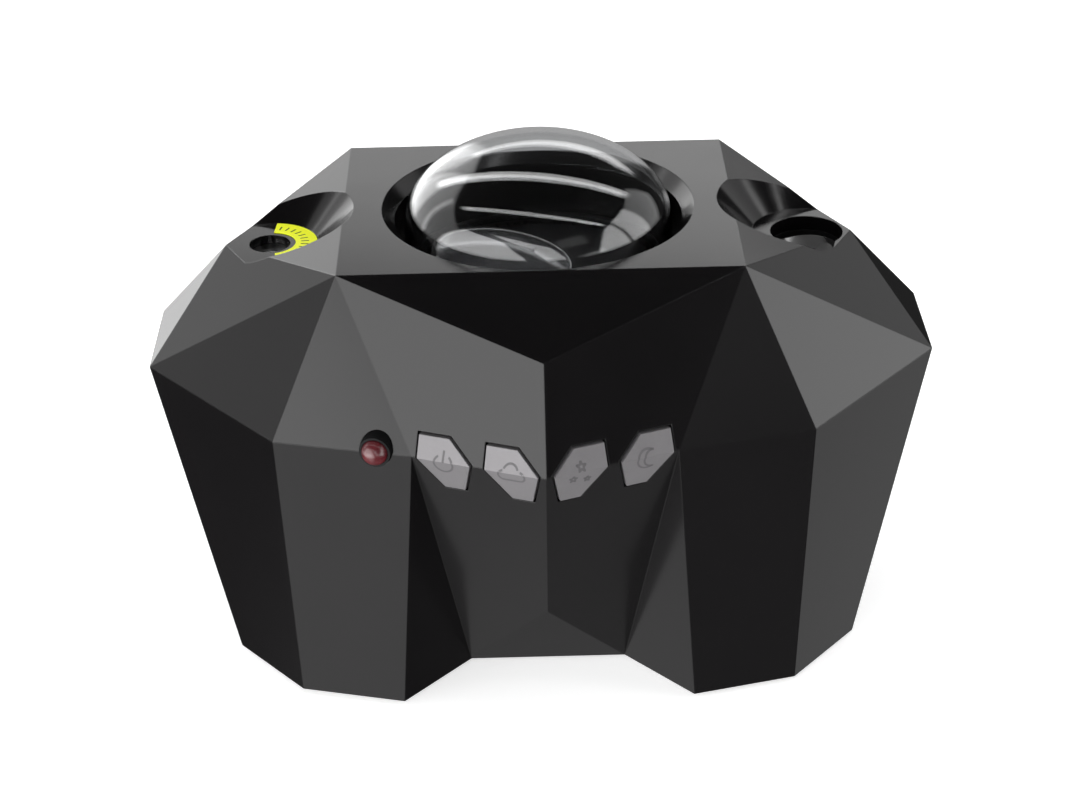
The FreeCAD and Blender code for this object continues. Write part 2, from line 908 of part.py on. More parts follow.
def eared_ring(r_out, z0, z1):
    return [cyl(r_out, z0, z1)] + [cyl(ear_r, z0, z1, x, y) for x, y in ear_places()]


def frame_r():
    """Radius of the lens frame's plate, inside the dome's bore."""
    return dome_bore_r() - frame_gap


def make_clamp_ring():
    """Presses the dome's flange up and carries the lens frame on its inner ledge."""
    z0, z1 = clamp_foot_z(), flange_foot_z()
    body = fused(eared_ring(cup_out_r(), z0, z1))
    tools = [cyl(frame_r() - frame_ledge, z0 - 1, z1 + 1)]
    tools += [cyl(screw_r + screw_gap, z0 - 1, z1 + 1, x, y) for x, y in ear_places()]
    return cut(body, tools)


def in_view(shape):
    """Moves a shape built about the origin to the large lens's place, over the lamp, and tilts it."""
    out, turn = dome_bore_r() - view_r, math.radians(view_bearing)
    shape.rotate(V(0, 0, 0), V(0, 1, 0), view_tilt)
    shape.translate(V(out * math.cos(turn), out * math.sin(turn), flange_foot_z()))
    return shape


def make_lens_frame():
    """Black plate under the dome with a tilted tube that holds the large lens."""
    z0 = flange_foot_z()
    seat, top = frame_thick + view_seat, frame_thick + view_seat + view_edge
    tube = in_view(cyl(view_r + view_wall, -view_r, top)).common(cyl(frame_r(), z0, plate_z))
    body = fused([cyl(frame_r(), z0, z0 + frame_thick), tube])
    bore, pocket = cyl(view_r - view_ledge, -view_r, top + 1), cyl(view_r + thread_gap, seat, top + 1)
    return cut(body, [in_view(bore), in_view(pocket)])


def make_view_lens():
    seat = frame_thick + view_seat
    edge = cyl(view_r, seat, seat + view_edge)
    return in_view(edge.fuse(cap_of_sphere(view_r - frame_gap, view_rise, seat + view_edge - 0.01)))


def make_optics_cup():
    z1 = clamp_foot_z()
    body = fused([cyl(cup_out_r(), cup_floor_z, z1)] + eared_ring(cup_out_r(), z1 - ear_thick, z1))
    body = body.cut(cyl(cup_r(), cup_top_z(), z1 + 1))
    body = fused([body, cyl(hub_r, cup_floor_z, disc_z - hub_drop - end_gap)])
    mx, my = 0.0, drive_distance(disc_teeth)
    tools = [cyl(screw_r + screw_gap, cup_floor_z, z1 + 1, x, y) for x, y in ear_places()]
    tools += [cyl(axle_r + thread_gap, cup_floor_z - 1, disc_z, 0, 0)]
    tools += [cyl(shaft_boss_r + screw_gap / 2, cup_floor_z - 1, cup_top_z() + 1, mx, my)]
    small_holes = [(mx - motor_ear_x, my), (mx + motor_ear_x, my)] + lamp_screw_places()
    small_r = small_screw_r + screw_gap / 2
    tools += [cyl(small_r, cup_floor_z - 1, cup_top_z() + 1, x, y) for x, y in small_holes]
    tools += [cyl(lens_r - lens_ledge, cup_floor_z - 1, cup_top_z() + 1, lamp_x, lamp_y)]
    tools += [cyl(lens_r + thread_gap, cup_top_z() - lens_edge, cup_top_z() + 1, lamp_x, lamp_y)]
    return cut(body, tools)


def make_cup_screws():
    seat = clamp_foot_z() - ear_thick
    tip = flange_foot_z() + cup_bite
    return group([screw(screw_r, screw_head_r, screw_head, tip, seat, x, y) for x, y in ear_places()])


def involute_points(base_r, r0, r1, count):
    """(radius, angle) pairs along an involute from r0 to r1."""
    pairs = []
    for i in range(count):
        r = max(base_r, r0 + (r1 - r0) * i / (count - 1))
        roll = math.sqrt(max(0.0, (r / base_r) ** 2 - 1))
        pairs.append((r, roll - math.atan(roll)))
    return pairs


def gear_outline(teeth, turn_deg):
    """Points of a spur gear with involute flanks. One tooth's middle points at turn_deg."""
    pitch_r = gear_module * teeth / 2
    base_r = pitch_r * math.cos(math.radians(pressure_angle))
    tip_r = pitch_r + tooth_add * gear_module
    root_r = pitch_r - tooth_ded * gear_module
    flank = involute_points(base_r, max(base_r, root_r), tip_r, 4)
    roll = math.tan(math.radians(pressure_angle)) - math.radians(pressure_angle)
    half = (math.pi * gear_module / 2 - backlash) / 2 / pitch_r + roll
    points = []
    for i in range(teeth):
        middle = math.radians(turn_deg) + 2 * math.pi * i / teeth
        rising = [(r, middle - half + a) for r, a in flank]
        falling = [(r, middle + half - a) for r, a in reversed(flank)]
        run = [(root_r, rising[0][1])] + rising + falling + [(root_r, falling[-1][1])]
        points += [(r * math.cos(a), r * math.sin(a)) for r, a in run]
    return points


def gear(teeth, turn_deg, z0, z1, x, y):
    body = prism(gear_outline(teeth, turn_deg), z0, z1)
    body.translate(V(x, y, 0))
    return body


def drive_distance(teeth):
    return gear_module * (teeth + pinion_teeth) / 2


def disc_rim_r():
    return gear_module * disc_teeth / 2 - tooth_ded * gear_module - rim_width


def make_disc_gear():
    body = gear(disc_teeth, 90.0, disc_z, disc_z + rim_thick, 0, 0)
    return body.cut(cyl(disc_rim_r(), disc_z - 1, disc_z + rim_thick + 1))


def make_ripple_disc():
    """Clear disc with a hub and rings of lenslets that bend the lamp's light."""
    z0 = disc_z + rim_step
    z1 = z0 + disc_thick
    parts = [cyl(disc_rim_r(), z0, z1), cyl(hub_r, disc_z - hub_drop, hub_top_z())]
    for circle_r, count in zip(lenslet_circles, lenslet_counts):
        for i in range(count):
            a = 2 * math.pi * i / count
            x, y = circle_r * math.cos(a), circle_r * math.sin(a)
            parts.append(cap_of_sphere(lenslet_r, lenslet_rise, z1 - 0.01, x, y))
    return fused(parts).cut(cyl(axle_r + run_gap, disc_z - 2, hub_top_z() + 1))


def hub_top_z():
    return disc_z + rim_step + disc_thick + hub_rise


def make_disc_axle():
    return cyl(axle_r, cup_floor_z - 1.0, hub_top_z() + end_gap + clip_thick + axle_end)


def make_axle_clip():
    z0 = hub_top_z() + end_gap
    return ring(hub_r - 0.8, axle_r, z0, z0 + clip_thick)


def motor(r, length, ear_x, top_z, x, y):
    """A can motor with two ears whose top face is at top_z, and a boss round its shaft."""
    ears = [box(x - ear_x, x + ear_x, y - 3, y + 3, top_z - motor_ear, top_z)]
    ears += [cyl(3.0, top_z - motor_ear, top_z, x + s * ear_x, y) for s in (-1, 1)]
    foot_z = top_z - length
    can = [cyl(r, foot_z, top_z, x, y), cyl(r - 1.6, foot_z - 1.5, foot_z, x, y)]
    boss = cyl(shaft_boss_r, top_z, top_z + cup_floor - 0.4, x, y)
    body = fused(can + [boss] + ears)
    pilot = small_screw_r + thread_gap
    tools = [cyl(pilot, top_z - motor_ear - 1, top_z + 1, x + s * ear_x, y) for s in (-1, 1)]
    tools.append(cyl(shaft_r + run_gap, top_z - 6, top_z + cup_floor, x, y))
    return cut(body, tools)


def motor_shaft(top_z, tip_z, x, y):
    return cyl(shaft_r, top_z - 5, tip_z, x, y)


def motor_screws(ear_x, top_z, plate, x, y):
    """Two small screws driven down through the plate into the motor's ears."""
    parts = []
    for s in (-1, 1):
        px = x + s * ear_x
        shank = cyl(small_screw_r, top_z - motor_ear - 0.6, top_z + plate + 0.01, px, y)
        parts.append(shank.fuse(cyl(small_head_r, top_z + plate, top_z + plate + small_head, px, y)))
    return parts


def pinion(z0, z1, x, y):
    """A small gear whose gap faces the wheel that it drives, in front of it."""
    body = gear(pinion_teeth, -90.0 + 180.0 / pinion_teeth, z0, z1, x, y)
    return body.cut(cyl(shaft_r, z0 - 1, z1 + 1, x, y))


# --- lamp ---

def lamp_screw_places():
    """Two screws on the diagonal that stays clear of the disc's axle."""
    return [(lamp_x + s * lamp_screw_half, lamp_y - s * lamp_screw_half) for s in (-1, 1)]


def lamp_board_z():
    return cup_floor_z - lamp_tube_length - board_thick


def make_condenser_lens():
    z0 = cup_top_z() - lens_edge
    return fused([cyl(lens_r, z0, z0 + lens_edge, lamp_x, lamp_y),
                  cap_of_sphere(lens_r - 0.6, lens_rise, z0 + lens_edge - 0.01, lamp_x, lamp_y)])


def make_lamp_tube():
    z0, z1 = cup_floor_z - lamp_tube_length, cup_floor_z
    body = [cyl(lens_r + lamp_tube_wall, z0, z1, lamp_x, lamp_y)]
    for x, y in lamp_screw_places():
        turn = math.degrees(math.atan2(y - lamp_y, x - lamp_x))
        arm = bar(lamp_x, lamp_y, turn, math.hypot(x - lamp_x, y - lamp_y), rib_width, z0, z1)
        body += [cyl(small_head_r + 0.8, z0, z1, x, y), arm]
    tools = [cyl(lens_r, z0 - 1, z1 + 1, lamp_x, lamp_y)]
    tools += [cyl(small_screw_r + thread_gap, z0 - 1, z1 + 1, x, y) for x, y in lamp_screw_places()]
    return cut(fused(body), tools)


def make_lamp_board():
    z0 = lamp_board_z()
    half = lamp_board / 2
    body = box(lamp_x - half, lamp_x + half, lamp_y - half, lamp_y + half, z0, z0 + board_thick)
    return cut(body, [cyl(small_screw_r + thread_gap, z0 - 1, z0 + 3, x, y) for x, y in lamp_screw_places()])


def make_lamp_chips():
    z0 = lamp_board_z() + board_thick
    half = chip_size / 2
    chips = []
    for i in range(3):
        a = 2 * math.pi * i / 3
        x, y = lamp_x + chip_pitch_r * math.cos(a), lamp_y + chip_pitch_r * math.sin(a)
        base = box(x - half, x + half, y - half, y + half, z0, z0 + chip_height)
        chips.append(base.fuse(cap_of_sphere(half * 0.8, 0.8, z0 + chip_height - 0.01, x, y)))
    return group(chips)


def make_heat_sink():
    top = lamp_board_z()
    half = lamp_board / 2
    plate = box(lamp_x - half, lamp_x + half, lamp_y - half, lamp_y + half, top - sink_base, top)
    pitch = (lamp_board - fin_thick) / (fin_count - 1)
    parts = [plate]
    for i in range(fin_count):
        x = lamp_x - half + i * pitch
        parts.append(box(x, x + fin_thick, lamp_y - half, lamp_y + half, top - sink_height, top - sink_base))
    pilot, foot = small_screw_r + thread_gap, top - sink_base - 1
    return cut(fused(parts), [cyl(pilot, foot, top + 1, x, y) for x, y in lamp_screw_places()])


def make_lamp_screws():
    """Long screws from the cup's floor down through tube and board into the heat sink."""
    parts = []
    for x, y in lamp_screw_places():
        shank = cyl(small_screw_r, lamp_board_z() - sink_base + 0.4, cup_top_z() + 0.01, x, y)
        parts.append(shank.fuse(cyl(small_head_r, cup_top_z(), cup_top_z() + small_head, x, y)))
    return group(parts)


# --- star module, left ---

def deck_plate(side):
    x0, x1 = sorted((side * deck_inner_x, side * deck_outer_x))
    z0, z1 = deck_z, deck_z + deck_thick
    return [box(x0, x1, -deck_y, deck_y, z0, z1), cyl(deck_disc_r, z0, z1, side * outlet_x)]


def deck_holes(side):
    z0, z1 = deck_z - 1, deck_z + deck_thick + 1
    return [cyl(screw_r + screw_gap, z0, z1, side * deck_screw_x, s * deck_screw_y) for s in (-1, 1)]


def star_motor_y():
    return drive_distance(wheel_teeth)


def make_star_deck():
    x, z0, z1 = -outlet_x, deck_z, deck_z + deck_thick
    pad_x, pad_y = x - star_ear_x, star_motor_y()
    reach = star_ear_x - star_pad_r
    pad = [cyl(star_pad_r, z0, z1, pad_x, pad_y), bar(pad_x, pad_y, 0, star_ear_x, 2 * star_pad_r, z0, z1),
           bar(x - reach, pad_y, 0, reach, 2 * (shaft_boss_r + star_pad_web), z0, z1)]
    body = fused(deck_plate(-1) + pad + [cyl(sleeve_r, sleeve_foot_z, sleeve_top_z, x)])
    slack = screw_gap / 2
    tools = deck_holes(-1) + [cyl(laser_r + thread_gap, sleeve_foot_z - 1, sleeve_top_z + 1, x)]
    tools += [cyl(shaft_boss_r + slack, z0 - 1, z1 + 1, x, pad_y)]
    tools += [cyl(small_screw_r + slack, z0 - 1, z1 + 1, x + s * star_ear_x, pad_y) for s in (-1, 1)]
    return cut(body, tools)


def make_laser_module():
    top = sleeve_top_z - 2.0
    nose = cyl(laser_r, top - laser_length, top, -outlet_x)
    stop = cyl(laser_r + 1.6, sleeve_foot_z - 2.0, sleeve_foot_z, -outlet_x)
    return fused([nose, stop]).cut(cyl(1.6, top - 1.0, top + 1, -outlet_x))


def wheel_z():
    return deck_z + deck_thick + end_gap


def film_z():
    return sleeve_top_z + end_gap


def make_star_wheel():
    """Toothed wheel that turns on the sleeve and carries the star film in its cap."""
    x = -outlet_x
    z0 = wheel_z()
    rim = gear(wheel_teeth, 90.0, z0, z0 + wheel_face, x, 0)
    cap = cyl(film_r + cap_wall, z0, film_z() + cap_rise - 1.0, x)
    body = fused([rim, cap])
    tools = [cyl(sleeve_r + run_gap, z0 - 1, film_z(), x), cyl(film_r, film_z(), film_z() + 4, x)]
    return cut(body, tools)


def make_star_film():
    return cyl(film_r, film_z(), film_z() + film_thick, -outlet_x)


def make_star_window():
    z0 = shoulder_z - outlet_floor
    return cyl(window_r - thread_gap, z0, z0 + window_thick, -outlet_x)


def make_aperture_band():
    """Plain yellow arc on the star outlet's floor."""
    x, z0 = -outlet_x, shoulder_z
    outer = Part.makeCylinder(band_r, band_thick, V(x, 0, z0), V(0, 0, 1), band_sweep)
    inner = cyl(band_r - band_width, z0 - 1, z0 + 1, x)
    arc = outer.cut(inner)
    arc.rotate(V(x, 0, 0), V(0, 0, 1), band_start)
    return arc


# --- picture module, right ---

def make_picture_barrel():
    x = outlet_x
    top = shoulder_z - outlet_floor
    lead = top - barrel_chamfer
    tube = [cyl(barrel_r, barrel_foot_z, lead, x), cone(barrel_r, barrel_r - barrel_chamfer, lead, top, x)]
    body = fused(deck_plate(1) + tube)
    tools = deck_holes(1)
    tools += [cyl(barrel_bore_r, barrel_step_z, top + 1, x)]
    tools += [cyl(barrel_low_bore_r, slide_z, barrel_step_z + 1, x)]
    tools += [cyl(barrel_low_bore_r - slide_ledge, barrel_foot_z - 1, slide_z + 1, x)]
    return cut(body, tools)


def make_front_lens():
    z0 = barrel_step_z
    edge_r = barrel_bore_r - thread_gap
    cap = cap_of_sphere(edge_r - ring_wall - 0.1, front_lens_rise, z0 + front_lens_edge - 0.01, outlet_x)
    return fused([cyl(edge_r, z0, z0 + front_lens_edge, outlet_x), cap])


def make_lens_ring():
    z0 = barrel_step_z + front_lens_edge
    r = barrel_bore_r - thread_gap
    return ring(r, r - ring_wall, z0, z0 + ring_height, outlet_x)


def make_picture_slide():
    return cyl(barrel_low_bore_r - thread_gap, slide_z, slide_z + slide_thick, outlet_x)


def make_picture_lamp():
    z1 = barrel_foot_z
    board = cyl(barrel_r, z1 - board_thick, z1, outlet_x)
    half = chip_size / 2
    chip = box(outlet_x - half, outlet_x + half, -half, half, z1, z1 + chip_height)
    return fused([board, chip])


def make_deck_screws():
    tip = deck_z + deck_thick + join_bite
    return group([screw(screw_r, screw_head_r, screw_head, tip, deck_z, x, y)
                  for x, y in four(deck_screw_x, deck_screw_y)])


# --- buttons, key boards, infrared eye ---

def make_button(block, side, centre):
    """A cap whose face follows the folded facets, a flange behind the wall and a short stem."""
    front = crease(side)[2] * -button_proud
    skin = block.copy()
    skin.translate(front)
    cap = crease_prism(side, button_shape(centre), -3, button_seat + stem_gap).common(skin)
    flange0 = button_seat + stem_gap
    flange = crease_prism(side, button_shape(centre, button_flange_out), flange0, flange0 + button_flange)
    stem = crease_rod(side, centre + switch_shift, switch_height(), stem_r, flange0, stem_end())
    middle = box(button_middle, side_x, -2 * prow_y, 0, 0, plate_z)
    clear = middle if side > 0 else mirrored(middle)
    return fused([cap, flange]).common(clear).fuse(stem)


def switch_height():
    heights = [h for s, h in button_outline]
    return (max(heights) + min(heights)) / 2


def stem_end():
    return button_seat + stem_gap + button_flange + stem_length


def make_plunger(side, centre):
    return crease_rod(side, centre + switch_shift, switch_height(), plunger_r, stem_end(),
                      stem_end() + plunger_length)


def make_switches():
    parts = []
    half = switch_size / 2
    h = switch_height()
    for side in (-1, 1):
        for centre in button_centres:
            s, back = centre + switch_shift, switch_front + switch_thick
            body = crease_box(side, s - half, s + half, switch_front, back, h - half, h + half)
            bore = crease_rod(side, s, h, plunger_r + plunger_gap, switch_front - 1,
                              stem_end() + plunger_length + button_travel + plunger_gap)
            parts.append(body.cut(bore))
    return group(parts)


def make_key_board(side):
    front = switch_front + switch_thick
    return crease_box(side, key_board_start, key_board_end, front, front + board_thick,
                      key_board_foot, key_board_top)


def make_eye():
    """Dark red dome of the infrared receiver, looking out of the left cheek."""
    spot, out = eye_frame()
    rod = Part.makeCylinder(eye_r, eye_depth + eye_proud, spot - out * eye_depth, out)
    ball = Part.makeSphere(eye_r, spot + out * eye_proud)
    front = Part.makeCylinder(eye_r, eye_r + 1, spot + out * (eye_proud - 0.01), out)
    return rod.fuse(ball.common(front))


def make_eye_bezel():
    spot, out = eye_frame()
    start = spot - out * bezel_depth
    length = bezel_depth + bezel_proud
    outer = Part.makeCylinder(eye_r + bezel_wall, length, start, out)
    return outer.cut(Part.makeCylinder(eye_r + thread_gap, length + 2, start - out, out))


def make_eye_board():
    spot, out = eye_frame()
    half = eye_board / 2
    board = box(-half, half, 0, eye_board_thick, -half, half)
    board.rotate(V(0, 0, 0), V(0, 0, 1), math.degrees(math.atan2(-out.x, out.y)) + 180)
    board.translate(spot - out * eye_depth)
    return board


# --- main board and socket ---

def make_main_board():
    body = box(-main_half_x, main_half_x, main_front_y, main_back_y, main_z, main_z + board_thick)
    pilot = small_screw_r + thread_gap
    return cut(body, [cyl(pilot, main_z - 1, main_z + board_thick + 1, x, y) for x, y in standoff_places()])


def make_board_screws():
    parts = []
    top = main_z + board_thick
    for x, y in standoff_places():
        shank = cyl(small_screw_r, main_z - board_screw_bite, top + 0.01, x, y)
        parts.append(shank.fuse(cyl(small_head_r, top, top + small_head, x, y)))
    return group(parts)


def board_block(x, y, length, width, height):
    """A part on the main board, from its left front corner."""
    z = main_z + board_thick
    return box(x, x + length, y, y + width, z, z + height)


def make_board_parts():
    """Chips, capacitors, a coil and the lead sockets on the main board."""
    z = main_z + board_thick
    right = main_half_x - standoff_side
    front = main_front_y + lead_socket_edge
    mid_y = (main_front_y + main_back_y) / 2
    parts = [board_block(-chip_body / 2, mid_y - chip_body, chip_body, chip_body, chip_body_height)]
    for side in (-1, 1):
        parts.append(board_block(side * 2 * small_part, mid_y + small_part, small_part, small_part_width,
                                 small_part_height))
    parts += [cyl(capacitor_r, z, z + capacitor_height, right - i * capacitor_pitch, mid_y - coil_size)
              for i in (0, 1)]
    parts.append(board_block(-right, mid_y - coil_size, coil_size, coil_size, coil_height))
    first = -(lead_socket_count - 1) / 2 * lead_socket_pitch - lead_socket_length / 2
    for i in range(lead_socket_count):
        parts.append(board_block(first + i * lead_socket_pitch, front, lead_socket_length, lead_socket_width,
                                 lead_socket_height))
    return group(parts)


def make_power_socket():
    y1 = socket_mouth_y()
    y0 = y1 - socket_length
    z = socket_z()
    thin = 2 * socket_wall
    shell = stadium(socket_width, socket_height, y0, y1, z)
    inside = stadium(socket_width - thin, socket_height - thin, y0 + tongue_back, y1 + 1, z)
    half = tongue_width / 2
    tongue = box(-half, half, y0 + tongue_back - 0.1, y1 - 0.8, z - tongue_thick / 2, z + tongue_thick / 2)
    foot = box(-socket_width / 2 + 1, socket_width / 2 - 1, y0, y0 + 4.0, main_z + board_thick, z)
    rear = stadium(socket_width, socket_height, y0, y0 + tongue_back, z)
    return fused([shell.cut(inside), tongue, rear, foot.cut(inside)])


def main():
    os.makedirs("parts", exist_ok=True)
    block = case_block()
    disc_motor_y = drive_distance(disc_teeth)
    pinion_z = disc_z - pinion_overlap
    pinion_top = disc_z + rim_thick + pinion_overlap
    star_x, star_y = -outlet_x, star_motor_y()
    star_pinion_z = wheel_z() + end_gap
    star_pinion_top = star_pinion_z + wheel_face
    save("upper_shell", make_upper_shell(block))
    save("lower_shell", make_lower_shell(block))
    save("base_cover", make_base_cover())
    save("rubber_feet", make_rubber_feet())
    save("base_screws", make_base_screws())
    save("join_screws", make_join_screws())
    save("glass_dome", make_glass_dome())
    save("dome_gasket", make_dome_gasket())
    save("clamp_ring", make_clamp_ring())
    save("lens_frame", make_lens_frame())
    save("view_lens", make_view_lens())
    save("optics_cup", make_optics_cup())
    save("cup_screws", make_cup_screws())
    save("ripple_disc", make_ripple_disc())
    save("disc_gear", make_disc_gear())
    save("disc_axle", make_disc_axle())
    save("axle_clip", make_axle_clip())
    save("disc_motor", motor(motor_r, motor_length, motor_ear_x, cup_floor_z, 0, disc_motor_y))
    save("disc_shaft", motor_shaft(cup_floor_z, pinion_top, 0, disc_motor_y))
    save("disc_pinion", pinion(pinion_z, pinion_top, 0, disc_motor_y))
    save("condenser_lens", make_condenser_lens())
    save("lamp_tube", make_lamp_tube())
    save("lamp_board", make_lamp_board())
    save("lamp_chips", make_lamp_chips())
    save("heat_sink", make_heat_sink())
    save("lamp_screws", make_lamp_screws())
    save("star_deck", make_star_deck())
    save("laser_module", make_laser_module())
    save("star_wheel", make_star_wheel())
    save("star_film", make_star_film())
    save("star_window", make_star_window())
    save("star_motor", motor(star_motor_r, star_motor_length, star_ear_x, deck_z, star_x, star_y))
    save("star_shaft", motor_shaft(deck_z, star_pinion_top, star_x, star_y))
    save("star_pinion", pinion(star_pinion_z, star_pinion_top, star_x, star_y))
    save("motor_screws", group(motor_screws(motor_ear_x, cup_floor_z, cup_floor, 0, disc_motor_y)
                               + motor_screws(star_ear_x, deck_z, deck_thick, star_x, star_y)))
    save("aperture_band", make_aperture_band())
    save("picture_barrel", make_picture_barrel())
    save("front_lens", make_front_lens())
    save("lens_ring", make_lens_ring())
    save("picture_slide", make_picture_slide())
    save("picture_lamp", make_picture_lamp())
    save("deck_screws", make_deck_screws())
    save("main_board", make_main_board())
    save("board_parts", make_board_parts())
    save("board_screws", make_board_screws())
    save("power_socket", make_power_socket())
    save("infrared_eye", make_eye())
    save("eye_bezel", make_eye_bezel())
    save("eye_board", make_eye_board())
    save("key_board_left", make_key_board(-1))
    save("key_board_right", make_key_board(1))
    save("key_switches", make_switches())
    outer, inner = button_centres[1], button_centres[0]
    buttons = (("power", -1, outer), ("cloud", -1, inner), ("star", 1, inner), ("moon", 1, outer))
    for name, side, centre in buttons:
        save("%s_button" % name, make_button(block, side, centre))
        save("%s_plunger" % name, make_plunger(side, centre))


main()
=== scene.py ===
"""Looks of a table-top planetarium projector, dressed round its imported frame.

Everything is in metres in the frame of the solids: X to the right, Y to the back, Z up, with the floor at
Z = 0. The solids of the case, its wells, the optics and the moving parts stay, and get their finishes here.
This file adds the clear dome, the signs on the buttons, the ticks round the star outlet and the studio.
"""
import json
import logging
import math
from dataclasses import dataclass
from enum import Enum
from typing import Any, Dict, List, Optional, Sequence, Tuple, Union

import bmesh
import bpy
from mathutils import Matrix, Vector
from mathutils.bvhtree import BVHTree

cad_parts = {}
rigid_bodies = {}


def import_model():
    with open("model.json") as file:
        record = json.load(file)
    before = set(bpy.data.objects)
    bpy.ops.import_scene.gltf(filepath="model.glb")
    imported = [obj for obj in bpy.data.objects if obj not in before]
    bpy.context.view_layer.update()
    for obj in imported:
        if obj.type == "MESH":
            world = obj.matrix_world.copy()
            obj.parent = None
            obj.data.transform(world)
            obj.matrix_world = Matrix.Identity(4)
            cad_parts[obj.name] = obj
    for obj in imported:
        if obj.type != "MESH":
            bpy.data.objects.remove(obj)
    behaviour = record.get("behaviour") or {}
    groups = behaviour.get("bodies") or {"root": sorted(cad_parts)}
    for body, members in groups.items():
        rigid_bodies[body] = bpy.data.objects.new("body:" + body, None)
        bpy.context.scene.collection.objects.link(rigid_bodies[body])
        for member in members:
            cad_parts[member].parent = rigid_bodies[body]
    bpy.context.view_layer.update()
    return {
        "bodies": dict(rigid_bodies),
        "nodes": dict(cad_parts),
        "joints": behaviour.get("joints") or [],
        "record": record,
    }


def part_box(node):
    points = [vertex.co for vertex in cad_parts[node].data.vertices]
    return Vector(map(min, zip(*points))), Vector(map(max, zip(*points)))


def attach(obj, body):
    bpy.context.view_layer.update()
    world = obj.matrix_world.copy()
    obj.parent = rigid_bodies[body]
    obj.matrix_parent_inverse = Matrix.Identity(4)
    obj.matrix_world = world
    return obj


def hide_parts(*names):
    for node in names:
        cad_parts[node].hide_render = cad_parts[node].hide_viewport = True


LOG = logging.getLogger("projector")

MM = 0.001
WHITE = (1.0, 1.0, 1.0, 1.0)

Rgb = Tuple[float, float, float]
Point2 = Tuple[float, float]
Point3 = Tuple[float, float, float]
Number = Union[int, float]


# --- shader arithmetic ---

class Wire:
    """One value of a node tree: an output socket that takes part in Python arithmetic."""

    def __init__(self, graph: "Graph", socket: bpy.types.NodeSocket) -> None:
        """Keeps the socket with the graph that it belongs to."""
        self.graph = graph
        self.socket = socket

    def _math(self, operation: str, *values: "Operand") -> "Wire":
        """Adds one Math node.

        Args:
            operation: the node's operation, such as MULTIPLY.
            values: its operands in order, as wires or numbers.

        Returns:
            The node's result.
        """
        node = self.graph.node("ShaderNodeMath", {"operation": operation}, dict(enumerate(values)))
        return Wire(self.graph, node.outputs[0])

    def __add__(self, other: "Operand") -> "Wire":
        """self + other."""
        return self._math("ADD", self, other)

    def __radd__(self, other: "Operand") -> "Wire":
        """other + self."""
        return self._math("ADD", other, self)

    def __sub__(self, other: "Operand") -> "Wire":
        """self - other."""
        return self._math("SUBTRACT", self, other)

    def __rsub__(self, other: "Operand") -> "Wire":
        """other - self."""
        return self._math("SUBTRACT", other, self)

    def __mul__(self, other: "Operand") -> "Wire":
        """self * other."""
        return self._math("MULTIPLY", self, other)

    def __rmul__(self, other: "Operand") -> "Wire":
        """other * self."""
        return self._math("MULTIPLY", other, self)

    def cosine(self) -> "Wire":
        """Cosine of this angle in radians."""
        return self._math("COSINE", self)

    def sine(self) -> "Wire":
        """Sine of this angle in radians."""
        return self._math("SINE", self)

    def times_plus(self, factor: "Operand", addend: "Operand") -> "Wire":
        """self * factor + addend, in one node."""
        return self._math("MULTIPLY_ADD", self, factor, addend)

    def step(self, low: float, high: float) -> "Wire":
        """Smooth step from 0 at low to 1 at high.

        Args:
            low: the value at which the step starts. It may be more than high, which turns the step round.
            high: the value at which it ends.

        Returns:
            A value from 0 to 1.
        """
        node = self.graph.node(
            "ShaderNodeMapRange",
            {"interpolation_type": "SMOOTHSTEP"},
            {"Value": self, "From Min": low, "From Max": high},
        )
        return Wire(self.graph, node.outputs["Result"])


Operand = Union[Wire, Number]


@dataclass(frozen=True)
class Noise:
    """A fractal noise: waves to the metre, octaves, and the share of the finer octaves."""

    scale: float
    detail: float = 2.0
    roughness: float = 0.5


